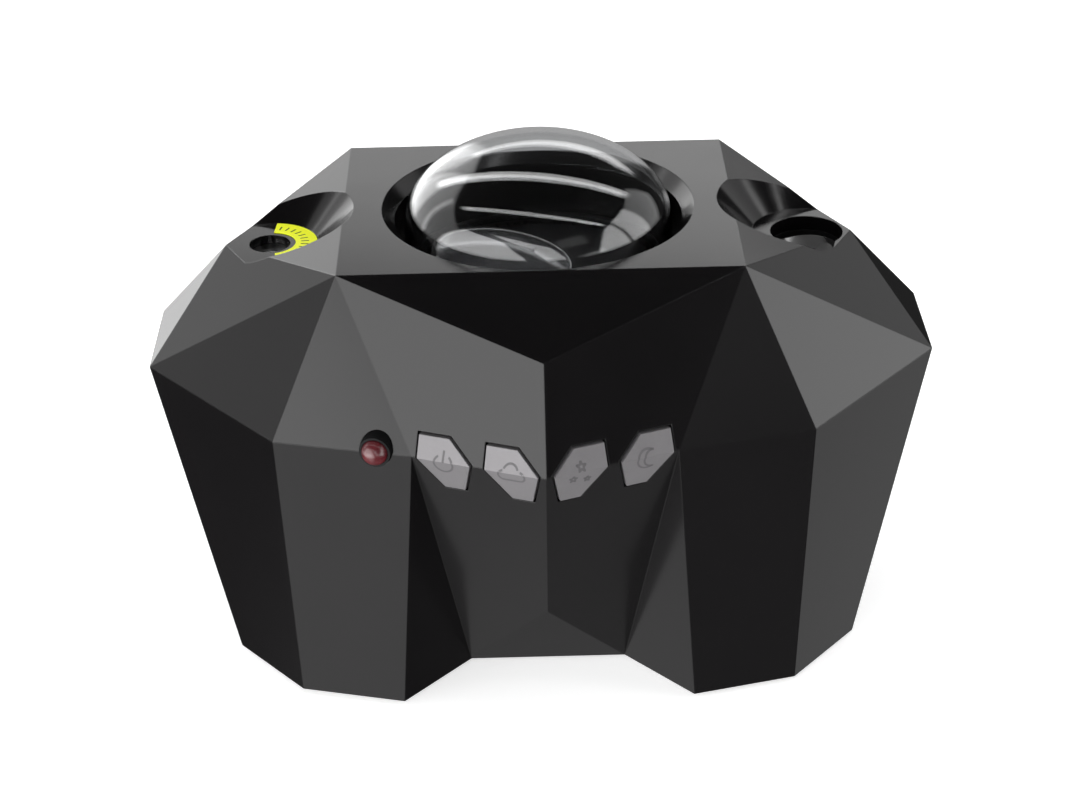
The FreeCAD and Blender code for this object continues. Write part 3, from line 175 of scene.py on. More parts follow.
class Graph:
    """The node tree of a material, a world or a Geometry Nodes group, filled step by step."""

    EDGE_SAMPLES = 4

    def __init__(self, tree: bpy.types.NodeTree) -> None:
        """Empties the tree."""
        self.tree = tree
        tree.nodes.clear()

    def node(self, kind: str, settings: Dict[str, Any], inputs: Dict[Any, Any]) -> bpy.types.Node:
        """Adds a node of any type.

        Args:
            kind: the node's type, such as ShaderNodeMath.
            settings: attributes that are set before the sockets, such as operation.
            inputs: socket name or index to a Wire, another socket or a plain value.

        Returns:
            The new node.
        """
        made = self.tree.nodes.new(kind)
        for name, value in settings.items():
            setattr(made, name, value)
        for key, value in inputs.items():
            socket = made.inputs[key]
            if isinstance(value, Wire):
                self.tree.links.new(value.socket, socket)
            elif isinstance(value, bpy.types.NodeSocket):
                self.tree.links.new(value, socket)
            else:
                socket.default_value = value
        return made

    def place(self) -> bpy.types.NodeSocket:
        """Object coordinates, in metres."""
        return self.node("ShaderNodeTexCoord", {}, {}).outputs["Object"]

    def noise(self, pattern: Noise, place: Optional[bpy.types.NodeSocket] = None) -> Wire:
        """Fractal noise on object coordinates.

        Args:
            pattern: its scale and octaves.
            place: other coordinates, such as stretched ones.

        Returns:
            A value of about 0.5, from 0 to 1.
        """
        inputs = {
            "Vector": self.place() if place is None else place,
            "Scale": pattern.scale,
            "Detail": pattern.detail,
            "Roughness": pattern.roughness,
        }
        return Wire(self, self.node("ShaderNodeTexNoise", {}, inputs).outputs[0])

    def blend(self, mask: Operand, low: Rgb, high: Rgb) -> bpy.types.NodeSocket:
        """Colour between low and high.

        Args:
            mask: 0 for low, 1 for high.
            low: linear colour.
            high: linear colour.

        Returns:
            The mixed colour's socket.
        """
        inputs = {0: mask, 6: (*low, 1.0), 7: (*high, 1.0)}
        return self.node("ShaderNodeMix", {"data_type": "RGBA"}, inputs).outputs[2]

    def rounded(self, radius: float) -> bpy.types.NodeSocket:
        """Normal that rounds the mesh's edges by that radius, in metres."""
        settings = {"samples": self.EDGE_SAMPLES}
        return self.node("ShaderNodeBevel", settings, {"Radius": radius}).outputs[0]

    def bump(
        self, height: Wire, depth: float, strength: float, under: Optional[bpy.types.NodeSocket] = None
    ) -> bpy.types.NodeSocket:
        """Normal that follows a height.

        Args:
            height: 0 to 1.
            depth: what 1 stands for, in metres.
            strength: 0 to 1.
            under: a normal that the bump sits on, if any.

        Returns:
            The normal's socket.
        """
        inputs: Dict[str, Any] = {"Height": height, "Distance": depth, "Strength": strength}
        if under is not None:
            inputs["Normal"] = under
        return self.node("ShaderNodeBump", {}, inputs).outputs["Normal"]

    def dot(self, vector: bpy.types.NodeSocket, fixed: Vector) -> Wire:
        """Dot product of a vector with a fixed one.

        Args:
            vector: a vector socket.
            fixed: the other vector.

        Returns:
            The product.
        """
        node = self.node("ShaderNodeVectorMath", {"operation": "DOT_PRODUCT"}, {0: vector, 1: tuple(fixed)})
        return Wire(self, node.outputs["Value"])

    def far(self, spot: Point3) -> Wire:
        """Distance of the surface's point from a spot, in metres."""
        node = self.node("ShaderNodeVectorMath", {"operation": "DISTANCE"}, {0: self.place(), 1: spot})
        return Wire(self, node.outputs["Value"])

    def surface(self, inputs: Dict[str, Any]) -> None:
        """Ends the tree in one Principled shader with these inputs."""
        shader = self.node("ShaderNodeBsdfPrincipled", {}, inputs)
        self.node("ShaderNodeOutputMaterial", {}, {"Surface": shader.outputs[0]})


def new_graph(name: str) -> Tuple[bpy.types.Material, Graph]:
    """Makes an empty node material.

    Args:
        name: the material's name.

    Returns:
        The material and its graph.
    """
    material = bpy.data.materials.new(name)
    material.use_nodes = True
    return material, Graph(material.node_tree)


# --- finishes ---

@dataclass(frozen=True)
class CasePlastic:
    """Moulded near-black plastic with a soft shine: edges rounded by a hair, the outlet's nose worn dull."""

    tone: Rgb = (0.0034, 0.0030, 0.0033)
    deep: Rgb = (0.0022, 0.0020, 0.0022)
    cloud: Noise = Noise(42.0, 3.0, 0.55)
    grain: Noise = Noise(2600.0, 2.0, 0.6)
    grain_depth: float = 0.012 * MM
    grain_strength: float = 0.10
    roughness: float = 0.16
    mottle: float = 0.03
    edge_radius: float = 0.28 * MM
    ior: float = 1.46
    worn_at: Point3 = (54.4 * MM, -9.2 * MM, 84.8 * MM)
    worn_reach: float = 4.6 * MM
    worn_core: float = 0.6
    worn_roughness: float = 0.34

    def build(self, name: str) -> bpy.types.Material:
        """Makes the finish.

        Args:
            name: the material's name.

        Returns:
            The material.
        """
        material, graph = new_graph(name)
        cloud = graph.noise(self.cloud)
        grain = graph.noise(self.grain)
        edge = graph.rounded(self.edge_radius)
        worn = graph.far(self.worn_at).step(self.worn_reach, self.worn_core * self.worn_reach)
        roughness = self.roughness + worn * self.worn_roughness
        graph.surface({
            "Base Color": graph.blend(cloud, self.deep, self.tone),
            "Roughness": roughness + (cloud - 0.5) * self.mottle + (grain - 0.5) * self.mottle,
            "Normal": graph.bump(grain, self.grain_depth, self.grain_strength, edge),
            "IOR": self.ior,
        })
        return material


@dataclass(frozen=True)
class SilverCap:
    """Silver-grey lacquered plastic of the button caps, with fine metal flake."""

    tone: Rgb = (0.174, 0.168, 0.174)
    deep: Rgb = (0.127, 0.122, 0.127)
    flake: Noise = Noise(5200.0, 1.0, 0.5)
    wear: Noise = Noise(260.0, 3.0, 0.6)
    flake_depth: float = 0.006 * MM
    flake_strength: float = 0.2
    roughness: float = 0.34
    mottle: float = 0.12
    metallic: float = 0.35
    edge_radius: float = 0.18 * MM

    def build(self, name: str) -> bpy.types.Material:
        """Makes the finish.

        Args:
            name: the material's name.

        Returns:
            The material.
        """
        material, graph = new_graph(name)
        flake = graph.noise(self.flake)
        wear = graph.noise(self.wear)
        edge = graph.rounded(self.edge_radius)
        graph.surface({
            "Base Color": graph.blend(flake * 0.5 + wear * 0.5, self.deep, self.tone),
            "Metallic": self.metallic,
            "Roughness": self.roughness + (flake - 0.5) * self.mottle,
            "Normal": graph.bump(flake, self.flake_depth, self.flake_strength, edge),
        })
        return material


@dataclass(frozen=True)
class Moulded:
    """Plain moulded, printed or rubber surface of one colour, with a fine spark-eroded grain, and a painted
    glow if it is given one.
    """

    tone: Rgb
    roughness: float = 0.5
    grain_scale: float = 1900.0
    grain_strength: float = 0.25
    spread: float = 0.25
    # painted glow: the tone gives off light of its own, though the part is no lamp
    painted_glow: float = 0.0
    shine: float = 0.5
    cloud: Noise = Noise(120.0, 3.0, 0.55)
    cloud_share: float = 0.6
    grain_depth: float = 0.03 * MM
    mottle: float = 0.12

    def build(self, name: str) -> bpy.types.Material:
        """Makes the finish.

        Args:
            name: the material's name.

        Returns:
            The material.
        """
        material, graph = new_graph(name)
        cloud = graph.noise(self.cloud)
        grain = graph.noise(Noise(self.grain_scale, 2.0, 0.6))
        deep = tuple(c * (1.0 - self.spread) for c in self.tone)
        mask = cloud * self.cloud_share + grain * (1.0 - self.cloud_share)
        inputs: Dict[str, Any] = {
            "Base Color": graph.blend(mask, deep, self.tone),
            "Roughness": self.roughness + (cloud - 0.5) * self.mottle,
            "Normal": graph.bump(grain, self.grain_depth, self.grain_strength),
            "Specular IOR Level": self.shine,
        }
        # the painted glow, added as emission of the surface's own colour
        if self.painted_glow > 0.0:
            inputs["Emission Color"] = (*self.tone, 1.0)
            inputs["Emission Strength"] = self.painted_glow
        graph.surface(inputs)
        return material


@dataclass(frozen=True)
class Clear:
    """Clear moulded glass or acrylic, with faint smears."""

    tint: Rgb = (0.97, 0.98, 0.99)
    roughness: float = 0.0
    ior: float = 1.49
    smudge: Noise = Noise(95.0, 4.0, 0.6)
    smear: float = 0.02
    smear_from: float = 0.52
    smear_to: float = 0.8

    def build(self, name: str) -> bpy.types.Material:
        """Makes the finish.

        Args:
            name: the material's name.

        Returns:
            The material.
        """
        material, graph = new_graph(name)
        smudge = graph.noise(self.smudge)
        graph.surface({
            "Base Color": (*self.tint, 1.0),
            "Roughness": self.roughness + smudge.step(self.smear_from, self.smear_to) * self.smear,
            "Transmission Weight": 1.0,
            "IOR": self.ior,
        })
        return material


@dataclass(frozen=True)
class MilkyLens:
    """Half-frosted dark moulded lens with a polished skin."""

    tone: Rgb = (0.14, 0.14, 0.145)
    deep: Rgb = (0.09, 0.09, 0.095)
    cloud: Noise = Noise(60.0, 2.0, 0.5)
    roughness: float = 0.10
    mottle: float = 0.05
    clearness: float = 0.55
    ior: float = 1.49
    shine: float = 0.2
    coat: float = 0.15
    coat_roughness: float = 0.03

    def build(self, name: str) -> bpy.types.Material:
        """Makes the finish.

        Args:
            name: the material's name.

        Returns:
            The material.
        """
        material, graph = new_graph(name)
        cloud = graph.noise(self.cloud)
        graph.surface({
            "Base Color": graph.blend(cloud, self.deep, self.tone),
            "Roughness": self.roughness + cloud * self.mottle,
            "Transmission Weight": self.clearness,
            "IOR": self.ior,
            "Specular IOR Level": self.shine,
            "Coat Weight": self.coat,
            "Coat Roughness": self.coat_roughness,
        })
        return material


@dataclass(frozen=True)
class TurnedMetal:
    """Bare metal with fine machining lines that run upright."""

    tone: Rgb
    roughness: float = 0.3
    lines: Noise = Noise(3000.0)
    line_stretch: Point3 = (1.0, 1.0, 0.05)
    line_depth: float = 0.01 * MM
    line_strength: float = 0.3
    line_shade: float = 0.8
    mottle: float = 0.2

    def build(self, name: str) -> bpy.types.Material:
        """Makes the finish.

        Args:
            name: the material's name.

        Returns:
            The material.
        """
        material, graph = new_graph(name)
        stretched = graph.node("ShaderNodeMapping", {}, {"Vector": graph.place(), "Scale": self.line_stretch})
        line = graph.noise(self.lines, stretched.outputs[0])
        deep = tuple(c * self.line_shade for c in self.tone)
        graph.surface({
            "Base Color": graph.blend(line, deep, self.tone),
            "Metallic": 1.0,
            "Roughness": self.roughness + (line - 0.5) * self.mottle,
            "Normal": graph.bump(line, self.line_depth, self.line_strength),
        })
        return material


@dataclass(frozen=True)
class ReceiverDome:
    """Dark red polished window of the infrared receiver."""

    tone: Rgb = (0.105, 0.006, 0.010)
    core: Rgb = (0.022, 0.002, 0.004)
    cloud: Noise = Noise(420.0, 2.0, 0.5)
    roughness: float = 0.30
    mottle: float = 0.05
    coat: float = 0.4
    coat_roughness: float = 0.12

    def build(self, name: str) -> bpy.types.Material:
        """Makes the finish.

        Args:
            name: the material's name.

        Returns:
            The material.
        """
        material, graph = new_graph(name)
        cloud = graph.noise(self.cloud)
        graph.surface({
            "Base Color": graph.blend(cloud, self.core, self.tone),
            "Roughness": self.roughness + cloud * self.mottle,
            "Coat Weight": self.coat,
            "Coat Roughness": self.coat_roughness,
        })
        return material


@dataclass(frozen=True)
class CircuitBoard:
    """Green lacquer over copper tracks."""

    lacquer: Rgb = (0.012, 0.075, 0.032)
    track: Rgb = (0.020, 0.125, 0.052)
    track_scale: float = 160.0
    track_width: float = 0.06
    track_soft: float = 0.1
    row_shift: float = 0.37
    roughness: float = 0.35
    track_roughness: float = 0.1
    track_depth: float = 0.03 * MM
    track_strength: float = 0.4

    def build(self, name: str) -> bpy.types.Material:
        """Makes the finish.

        Args:
            name: the material's name.

        Returns:
            The material.
        """
        material, graph = new_graph(name)
        bricks = graph.node("ShaderNodeTexBrick", {"offset": self.row_shift}, {
            "Vector": graph.place(),
            "Scale": self.track_scale,
            "Mortar Size": self.track_width,
            "Mortar Smooth": self.track_soft,
        })
        tracks = Wire(graph, bricks.outputs["Fac"])
        graph.surface({
            "Base Color": graph.blend(tracks, self.lacquer, self.track),
            "Roughness": self.roughness + tracks * self.track_roughness,
            "Normal": graph.bump(tracks, self.track_depth, self.track_strength),
        })
        return material


class Finish(Enum):
    """The material slots of the frame."""

    CASE = "case_black"
    BUTTON = "button_silver"
    INNER = "inner_black"
    RUBBER = "rubber"
    DOME = "dome_glass"
    LENS = "lens_clear"
    ACETAL = "white_acetal"
    STEEL = "steel"
    BRASS = "brass"
    SINK = "sink_aluminium"
    LAMP = "lamp_yellow"
    BOARD = "board_green"
    PARTS = "parts_black"
    PLUNGER = "plunger_grey"
    FILM = "film"
    BAND = "band_yellow"
    EYE = "eye_red"


AnyFinish = Union[
    CasePlastic, SilverCap, Moulded, Clear, MilkyLens, TurnedMetal, ReceiverDome, CircuitBoard
]

RECIPES: Dict[Finish, AnyFinish] = {
    Finish.CASE: CasePlastic(),
    Finish.BUTTON: SilverCap(),
    Finish.INNER: Moulded((0.006, 0.006, 0.0063), shine=0.12),
    Finish.RUBBER: Moulded((0.018, 0.018, 0.019), roughness=0.72, grain_scale=1300.0, grain_strength=0.5),
    Finish.DOME: Clear(),
    Finish.LENS: Clear((0.93, 0.95, 0.98), roughness=0.02),
    Finish.ACETAL: Moulded(
        (0.74, 0.74, 0.70), roughness=0.38, grain_scale=900.0, grain_strength=0.1, spread=0.06),
    Finish.STEEL: TurnedMetal((0.62, 0.62, 0.63)),
    Finish.BRASS: TurnedMetal((0.72, 0.50, 0.22)),
    Finish.SINK: TurnedMetal((0.66, 0.67, 0.69), roughness=0.4),
    Finish.LAMP: Moulded((0.80, 0.62, 0.08), roughness=0.3, grain_scale=2500.0, grain_strength=0.1),
    Finish.BOARD: CircuitBoard(),
    Finish.PARTS: Moulded((0.020, 0.020, 0.021), roughness=0.45),
    Finish.PLUNGER: Moulded((0.30, 0.30, 0.31)),
    Finish.FILM: Moulded((0.05, 0.04, 0.06), roughness=0.25, grain_scale=800.0, grain_strength=0.05),
    # the yellow band gets a painted glow: it gives off light of its own, though it is no lamp
    Finish.BAND: Moulded(
        (0.70, 0.76, 0.012), roughness=0.45, grain_scale=1500.0, grain_strength=0.08, spread=0.06,
        painted_glow=0.42),
    Finish.EYE: ReceiverDome(),
}


def print_ink(tone: Rgb) -> Moulded:
    """The smooth ink of the printed signs and ticks, of that colour."""
    return Moulded(tone, grain_scale=2500.0, grain_strength=0.05, spread=0.1)


class Paintbox:
    """Makes each finish once and hands it out by slot."""

    def __init__(self) -> None:
        """Starts with nothing made."""
        self.made: Dict[Finish, bpy.types.Material] = {}

    def of(self, finish: Finish) -> bpy.types.Material:
        """Hands out a finish.

        Args:
            finish: the slot that it is for.

        Returns:
            Its material, made when it is first asked for.
        """
        if finish not in self.made:
            self.made[finish] = RECIPES[finish].build(finish.value)
        return self.made[finish]


# --- meshes ---

def new_piece(name: str, mesh: bpy.types.Mesh, material: bpy.types.Material) -> bpy.types.Object:
    """Links a mesh as a piece with one material.

    Args:
        name: the piece's name.
        mesh: its mesh, in place in the frame.
        material: its finish.

    Returns:
        The new object.
    """
    mesh.materials.clear()
    mesh.materials.append(material)
    piece = bpy.data.objects.new(name, mesh)
    bpy.context.scene.collection.objects.link(piece)
    return piece


def closed_mesh(name: str, shape: bmesh.types.BMesh) -> bpy.types.Mesh:
    """Turns a finished shape into a mesh and frees it.

    Args:
        name: the mesh's name.
        shape: closed faces.

    Returns:
        The mesh, whose faces point outwards.
    """
    bmesh.ops.recalc_face_normals(shape, faces=shape.faces)
    mesh = bpy.data.meshes.new(name)
    shape.to_mesh(mesh)
    shape.free()
    return mesh


def lathe(name: str, profile: Sequence[Point2], steps: int) -> bpy.types.Mesh:
    """Turns a closed profile about the upright axis through the origin.

    Args:
        name: the mesh's name.
        profile: (radius, height) points of the section. Points on the axis have radius 0.
        steps: facets round the axis.

    Returns:
        A closed mesh whose faces point outwards.
    """
    on_axis = 1e-9
    shape = bmesh.new()
    rings: List[List[bmesh.types.BMVert]] = []
    for radius, height in profile:
        count = 1 if radius < on_axis else steps
        turn = [2.0 * math.pi * i / steps for i in range(count)]
        rings.append([shape.verts.new((radius * math.cos(a), radius * math.sin(a), height)) for a in turn])
    for here, there in zip(rings, rings[1:] + rings[:1]):
        for i in range(steps):
            corners = [here[i % len(here)], here[(i + 1) % len(here)],
                       there[(i + 1) % len(there)], there[i % len(there)]]
            unique = list(dict.fromkeys(corners))
            if len(unique) > 2:
                shape.faces.new(unique)
    return closed_mesh(name, shape)


def smooth(mesh: bpy.types.Mesh, limit_deg: float) -> None:
    """Shades a mesh smooth but for edges sharper than the limit."""
    mesh.shade_smooth()
    mesh.set_sharp_from_angle(angle=math.radians(limit_deg))


# --- dome ---

@dataclass(frozen=True)
class Dome:
    """The clear dome with its flange: the outside of the frame's solid on a finer mesh, with a thin wall."""

    radius: float = 27.3 * MM
    rise: float = 16.5 * MM
    wall: float = 1.2 * MM
    flange_thick: float = 2.0 * MM
    arc_points: int = 72
    steps: int = 192
    sharp_deg: float = 30.0

    def crown(self, radius: float, rise: float, spring: float) -> List[Point2]:
        """Quarter ellipse of a surface, from the spring line up to the axis.

        Args:
            radius: the surface's radius at the spring line.
            rise: its height above that line.
            spring: the line's height.

        Returns:
            Points of (radius, height), the last one on the axis.
        """
        turn = [0.5 * math.pi * i / self.arc_points for i in range(self.arc_points)]
        return [(radius * math.cos(a), spring + rise * math.sin(a)) for a in turn] + [(0.0, spring + rise)]

    def profile(self) -> List[Point2]:
        """Section of flange, upright skirt and elliptic crown, set between the ends of the frame's box."""
        low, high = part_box("glass_dome")
        spring = high.z - self.rise
        bore = self.radius - self.wall
        top = low.z + self.flange_thick
        outside = self.crown(self.radius, self.rise, spring)
        inside = self.crown(bore, self.rise - self.wall, spring)
        flange = [(bore, low.z), (high.x, low.z), (high.x, top), (self.radius, top)]
        return flange + outside + inside[::-1]

    def build(self, paints: Paintbox) -> bpy.types.Object:
        """Makes the dome, which rides on the case.

        Args:
            paints: the finishes.

        Returns:
            The piece.
        """
        mesh = lathe("clear_dome", self.profile(), self.steps)
        smooth(mesh, self.sharp_deg)
        piece = new_piece("clear_dome", mesh, paints.of(Finish.DOME))
        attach(piece, "case")
        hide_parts("glass_dome")
        return piece


# --- buttons ---

def arc(centre: Point2, radius: float, start: float, end: float, points: int = 24) -> List[Point2]:
    """Points of an arc, with its angles in degrees."""
    turn = [math.radians(start + (end - start) * i / (points - 1)) for i in range(points)]
    return [(centre[0] + radius * math.cos(a), centre[1] + radius * math.sin(a)) for a in turn]


def star(centre: Point2, radius: float, waist: float = 0.42) -> List[Point2]:
    """Closed outline of a five-pointed star.

    Args:
        centre: its middle.
        radius: from the middle to a point.
        waist: the inner corners' share of that radius.

    Returns:
        The outline, with its first point again at the end.
    """
    outline = []
    for i in range(11):
        reach = radius if i % 2 == 0 else radius * waist
        turn = math.radians(90.0 + 36.0 * i)
        outline.append((centre[0] + reach * math.cos(turn), centre[1] + reach * math.sin(turn)))
    return outline


def resampled(line: List[Point2], pitch: float) -> List[Point2]:
    """Divides a line's longer runs.

    Args:
        line: its points.
        pitch: the longest step that is left.

    Returns:
        The same line with more points.
    """
    out = [line[0]]
    for a, b in zip(line, line[1:]):
        count = max(1, math.ceil(math.dist(a, b) / pitch))
        shares = [i / count for i in range(1, count + 1)]
        out += [(a[0] + (b[0] - a[0]) * t, a[1] + (b[1] - a[1]) * t) for t in shares]
    return out


def edges_of(line: List[Point2], half: float) -> Tuple[List[Point2], List[Point2]]:
    """Widens a line to a strip.

    Args:
        line: its points.
        half: half the strip's width.

    Returns:
        The strip's left and right edge.
    """
    left, right = [], []
    for i, (s, h) in enumerate(line):
        a, b = line[max(0, i - 1)], line[min(len(line) - 1, i + 1)]
        length = math.dist(a, b) or 1.0
        across, up = -(b[1] - a[1]) / length * half, (b[0] - a[0]) / length * half
        left.append((s + across, h + up))
        right.append((s - across, h - up))
    return left, right


def raised_strip(
    shape: bmesh.types.BMesh, tops: List[List[bmesh.types.BMVert]], feet: List[List[bmesh.types.BMVert]]
) -> None:
    """Closes a raised strip.

    Args:
        shape: where its faces go.
        tops: points of its left and right upper edge.
        feet: points of its left and right lower edge.
    """
    (tl, tr), (bl, br) = tops, feet
    for i in range(len(tl) - 1):
        for a, b in ((tl, tr), (tr, br), (br, bl), (bl, tl)):
            shape.faces.new((a[i], a[i + 1], b[i + 1], b[i]))
    for i in (0, -1):
        shape.faces.new((tl[i], tr[i], br[i], bl[i]))


class FoldedFace:
    """A button cap's folded face, met by rays along the way that the button travels."""

    FACE_DEPTH = 4.0 * MM
    RAY_LEAD = 0.2

    def __init__(self, node: bpy.types.Object, joints: List[Dict[str, Any]]) -> None:
        """Finds the cap's press direction and the middle of its face.

        Args:
            node: the button's solid from the frame.
            joints: the frame's joints.
        """
        points = [v.co.copy() for v in node.data.vertices]
        faces = [tuple(p.vertices) for p in node.data.polygons]
        self.tree = BVHTree.FromPolygons(points, faces)
        low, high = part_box(node.name)
        self.side = 1.0 if low.x + high.x > 0 else -1.0
        joint = next(j for j in joints if j["child"] == node.name.replace("_button", "_key"))
        self.inward = Vector(joint["axis"]).normalized()
        self.along = Vector((self.side * abs(self.inward.y), abs(self.inward.x), 0.0))
        front = min(p.dot(self.inward) for p in points)
        face = [p for p in points if p.dot(self.inward) < front + self.FACE_DEPTH]
        spans = [p.dot(self.along) for p in face]
        heights = [p.z for p in face]
        self.middle = self.along * (0.5 * (min(spans) + max(spans)))
        self.middle.z = 0.5 * (min(heights) + max(heights))

    def at(self, spot: Point2, lift: float) -> Vector:
        """The point of the face behind a spot.

        Args:
            spot: metres to the viewer's right of the middle, and above it.
            lift: how far off the face, towards the viewer.

        Returns:
            A point in the frame.

        Raises:
            RuntimeError: the spot lies beside the cap.
        """
        sideways = self.along * (spot[0] * self.side)
        start = self.middle + sideways + Vector((0.0, 0.0, spot[1])) - self.inward * self.RAY_LEAD
        hit = self.tree.ray_cast(start, self.inward)[0]
        if hit is None:
            raise RuntimeError("a sign reaches past its button")
        return hit - self.inward * lift


class Symbol(Enum):
    """The generic sign on each button."""

    POWER = "power"
    CLOUD = "cloud"
    STAR = "star"
    MOON = "moon"

    def strokes(self) -> List[List[Point2]]:
        """The sign's lines, in millimetres along and above the crease: one list of points for each."""
        if self is Symbol.POWER:
            ring = arc((0.0, -0.4), 1.9, 125.0, 415.0)
            return [ring, [(0.0, 2.2), (0.0, 0.0)]]
        if self is Symbol.CLOUD:
            left = arc((-1.5, -0.5), 1.1, 100.0, 270.0)
            top = arc((-0.1, 0.5), 1.4, 15.0, 165.0)
            right = arc((1.6, -0.5), 1.1, -90.0, 80.0)
            return [left, top, right, [(-1.5, -1.6), (1.6, -1.6)]]
        if self is Symbol.STAR:
            return [star((0.1, 1.1), 1.0), star((-1.5, -1.4), 0.8), star((1.4, -1.9), 0.7)]
        outer = arc((0.0, -0.4), 2.1, 60.0, 300.0)
        inner = arc((1.1, -0.4), 1.85, 278.0, 82.0)
        return [outer, inner]


@dataclass(frozen=True)
class ButtonSigns:
    """Thin printed signs on the folded button caps."""

    stroke: float = 0.42 * MM
    lift: float = 0.02 * MM
    pitch: float = 0.12 * MM
    rise: float = 1.2 * MM
    tone: Rgb = (0.080, 0.076, 0.080)

    def build(self, frame: Dict[str, Any]) -> List[bpy.types.Object]:
        """Prints every sign.


        Returns:
            The printed pieces.
        """
        paint = print_ink(self.tone).build("sign_grey")
        pieces = []
        for symbol in Symbol:
            face = FoldedFace(frame["nodes"][f"{symbol.value}_button"], frame["joints"])
            name = f"{symbol.value}_sign"
            piece = new_piece(name, self.print_on(face, name, symbol.strokes()), paint)
            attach(piece, f"{symbol.value}_key")
            pieces.append(piece)
        return pieces

    def print_on(self, face: FoldedFace, name: str, strokes: List[List[Point2]]) -> bpy.types.Mesh:
        """Lays strokes on a folded face as thin raised strips.

        Args:
            face: the face to print on.
            name: the mesh's name.
            strokes: points in millimetres along and above the crease.

        Returns:
            The mesh of all strokes.
        """
        shape = bmesh.new()
        for stroke in strokes:
            line = resampled([(s * MM, h * MM + self.rise) for s, h in stroke], self.pitch)
            sides = edges_of(line, self.stroke / 2.0)
            tops = [[shape.verts.new(face.at(p, self.lift)) for p in side] for side in sides]
            feet = [[shape.verts.new(face.at(p, -self.lift)) for p in side] for side in sides]
            raised_strip(shape, tops, feet)
        return closed_mesh(name, shape)


# --- ticks round the star outlet ---

@dataclass(frozen=True)
class OutletTicks:
    """Plain dark ticks printed on the yellow arc round the star outlet."""

    count: int = 13
    margin_deg: float = 9.0
    inner: float = 6.4 * MM
    length: float = 1.6 * MM
    width: float = 0.30 * MM
    thick: float = 0.03 * MM
    proud: float = 0.4
    start_deg: float = -75.0
    sweep_deg: float = 160.0
    tone: Rgb = (0.03, 0.03, 0.02)

    def tree(self, paint: bpy.types.Material) -> bpy.types.NodeTree:
        """Geometry Nodes that set one tick at each step of an arc.

        Args:
            paint: the ticks' material.

        Returns:
            The tree, with named inputs for its sizes.
        """
        tree = bpy.data.node_groups.new("tick_arc", "GeometryNodeTree")
        sockets = [("Count", "Int"), *((label, "Float") for label in (
            "Radius", "Start", "Step", "Length", "Width", "Thickness")), ("Centre", "Vector")]
        tree.interface.new_socket("Geometry", in_out="OUTPUT", socket_type="NodeSocketGeometry")
        for label, kind in sockets:
            tree.interface.new_socket(label, in_out="INPUT", socket_type=f"NodeSocket{kind}")
        graph = Graph(tree)
        given = graph.node("NodeGroupInput", {}, {}).outputs
        line = graph.node("GeometryNodeMeshLine", {}, {"Count": given["Count"]})
        index = Wire(graph, graph.node("GeometryNodeInputIndex", {}, {}).outputs[0])
        radius = Wire(graph, given["Radius"])
        angle = index.times_plus(Wire(graph, given["Step"]), Wire(graph, given["Start"]))
        spot = graph.node("ShaderNodeCombineXYZ", {}, {0: angle.cosine() * radius, 1: angle.sine() * radius})
        shifted = graph.node(
            "ShaderNodeVectorMath", {"operation": "ADD"}, {0: spot.outputs[0], 1: given["Centre"]})
        placed = graph.node(
            "GeometryNodeSetPosition", {}, {"Geometry": line.outputs[0], "Position": shifted.outputs[0]})
        size = graph.node(
            "ShaderNodeCombineXYZ", {}, {0: given["Length"], 1: given["Width"], 2: given["Thickness"]})
        tick = graph.node("GeometryNodeMeshCube", {}, {"Size": size.outputs[0]})
        turn = graph.node("ShaderNodeCombineXYZ", {}, {2: angle})
        copies = graph.node("GeometryNodeInstanceOnPoints", {}, {
            "Points": placed.outputs[0], "Instance": tick.outputs["Mesh"], "Rotation": turn.outputs[0]})
        real = graph.node("GeometryNodeRealizeInstances", {}, {0: copies.outputs[0]})
        coat = graph.node("GeometryNodeSetMaterial", {}, {"Geometry": real.outputs[0], "Material": paint})
        graph.node("NodeGroupOutput", {}, {0: coat.outputs[0]})
        return tree

    def build(self) -> bpy.types.Object:
        """The ticks as one piece on the case."""
        paint = print_ink(self.tone).build("tick_black")
        low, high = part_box("star_window")
        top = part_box("aperture_band")[1].z
        sweep = math.radians(self.sweep_deg - 2.0 * self.margin_deg)
        piece = grown("outlet_ticks", self.tree(paint), {
            "Count": self.count,
            "Radius": self.inner + 0.5 * self.length,
            "Start": math.radians(self.start_deg + self.margin_deg),
            "Step": sweep / (self.count - 1),
            "Length": self.length,
            "Width": self.width,
            "Thickness": self.thick,
            "Centre": Vector((0.5 * (low.x + high.x), 0.5 * (low.y + high.y), top + self.proud * self.thick)),
        })
        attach(piece, "case")
        return piece


def grown(name: str, tree: bpy.types.NodeTree, values: Dict[str, Any]) -> bpy.types.Object:
    """Runs a Geometry Nodes tree and keeps its result as a plain mesh.

    Args:
        name: the piece's name.
        tree: the tree, which makes all its geometry itself.
        values: input name to value.

    Returns:
        The piece, with no modifier left.
    """
    holder = bpy.data.objects.new(name, bpy.data.meshes.new(name))
    bpy.context.scene.collection.objects.link(holder)
    modifier = holder.modifiers.new("grow", "NODES")
    modifier.node_group = tree
    sockets = {item.name: item.identifier for item in tree.interface.items_tree if item.in_out == "INPUT"}
    for label, value in values.items():
        modifier[sockets[label]] = value
    seen = bpy.context.evaluated_depsgraph_get()
    mesh = bpy.data.meshes.new_from_object(holder.evaluated_get(seen), depsgraph=seen)
    holder.modifiers.remove(modifier)
    holder.data = mesh
    return holder


# --- studio ---

def toward(azimuth: float, elevation: float) -> Vector:
    """Unit vector of a direction seen from the object.

    Args:
        azimuth: degrees to the right of straight behind the object.
        elevation: degrees above level.

    Returns:
        The direction.
    """
    a, e = math.radians(azimuth), math.radians(elevation)
    return Vector((math.sin(a) * math.cos(e), math.cos(a) * math.cos(e), math.sin(e)))


def cosine(degrees: float) -> float:
    """Cosine of an angle in degrees."""
    return math.cos(math.radians(degrees))


def sine(degrees: float) -> float:
    """Sine of an angle in degrees."""
    return math.sin(math.radians(degrees))


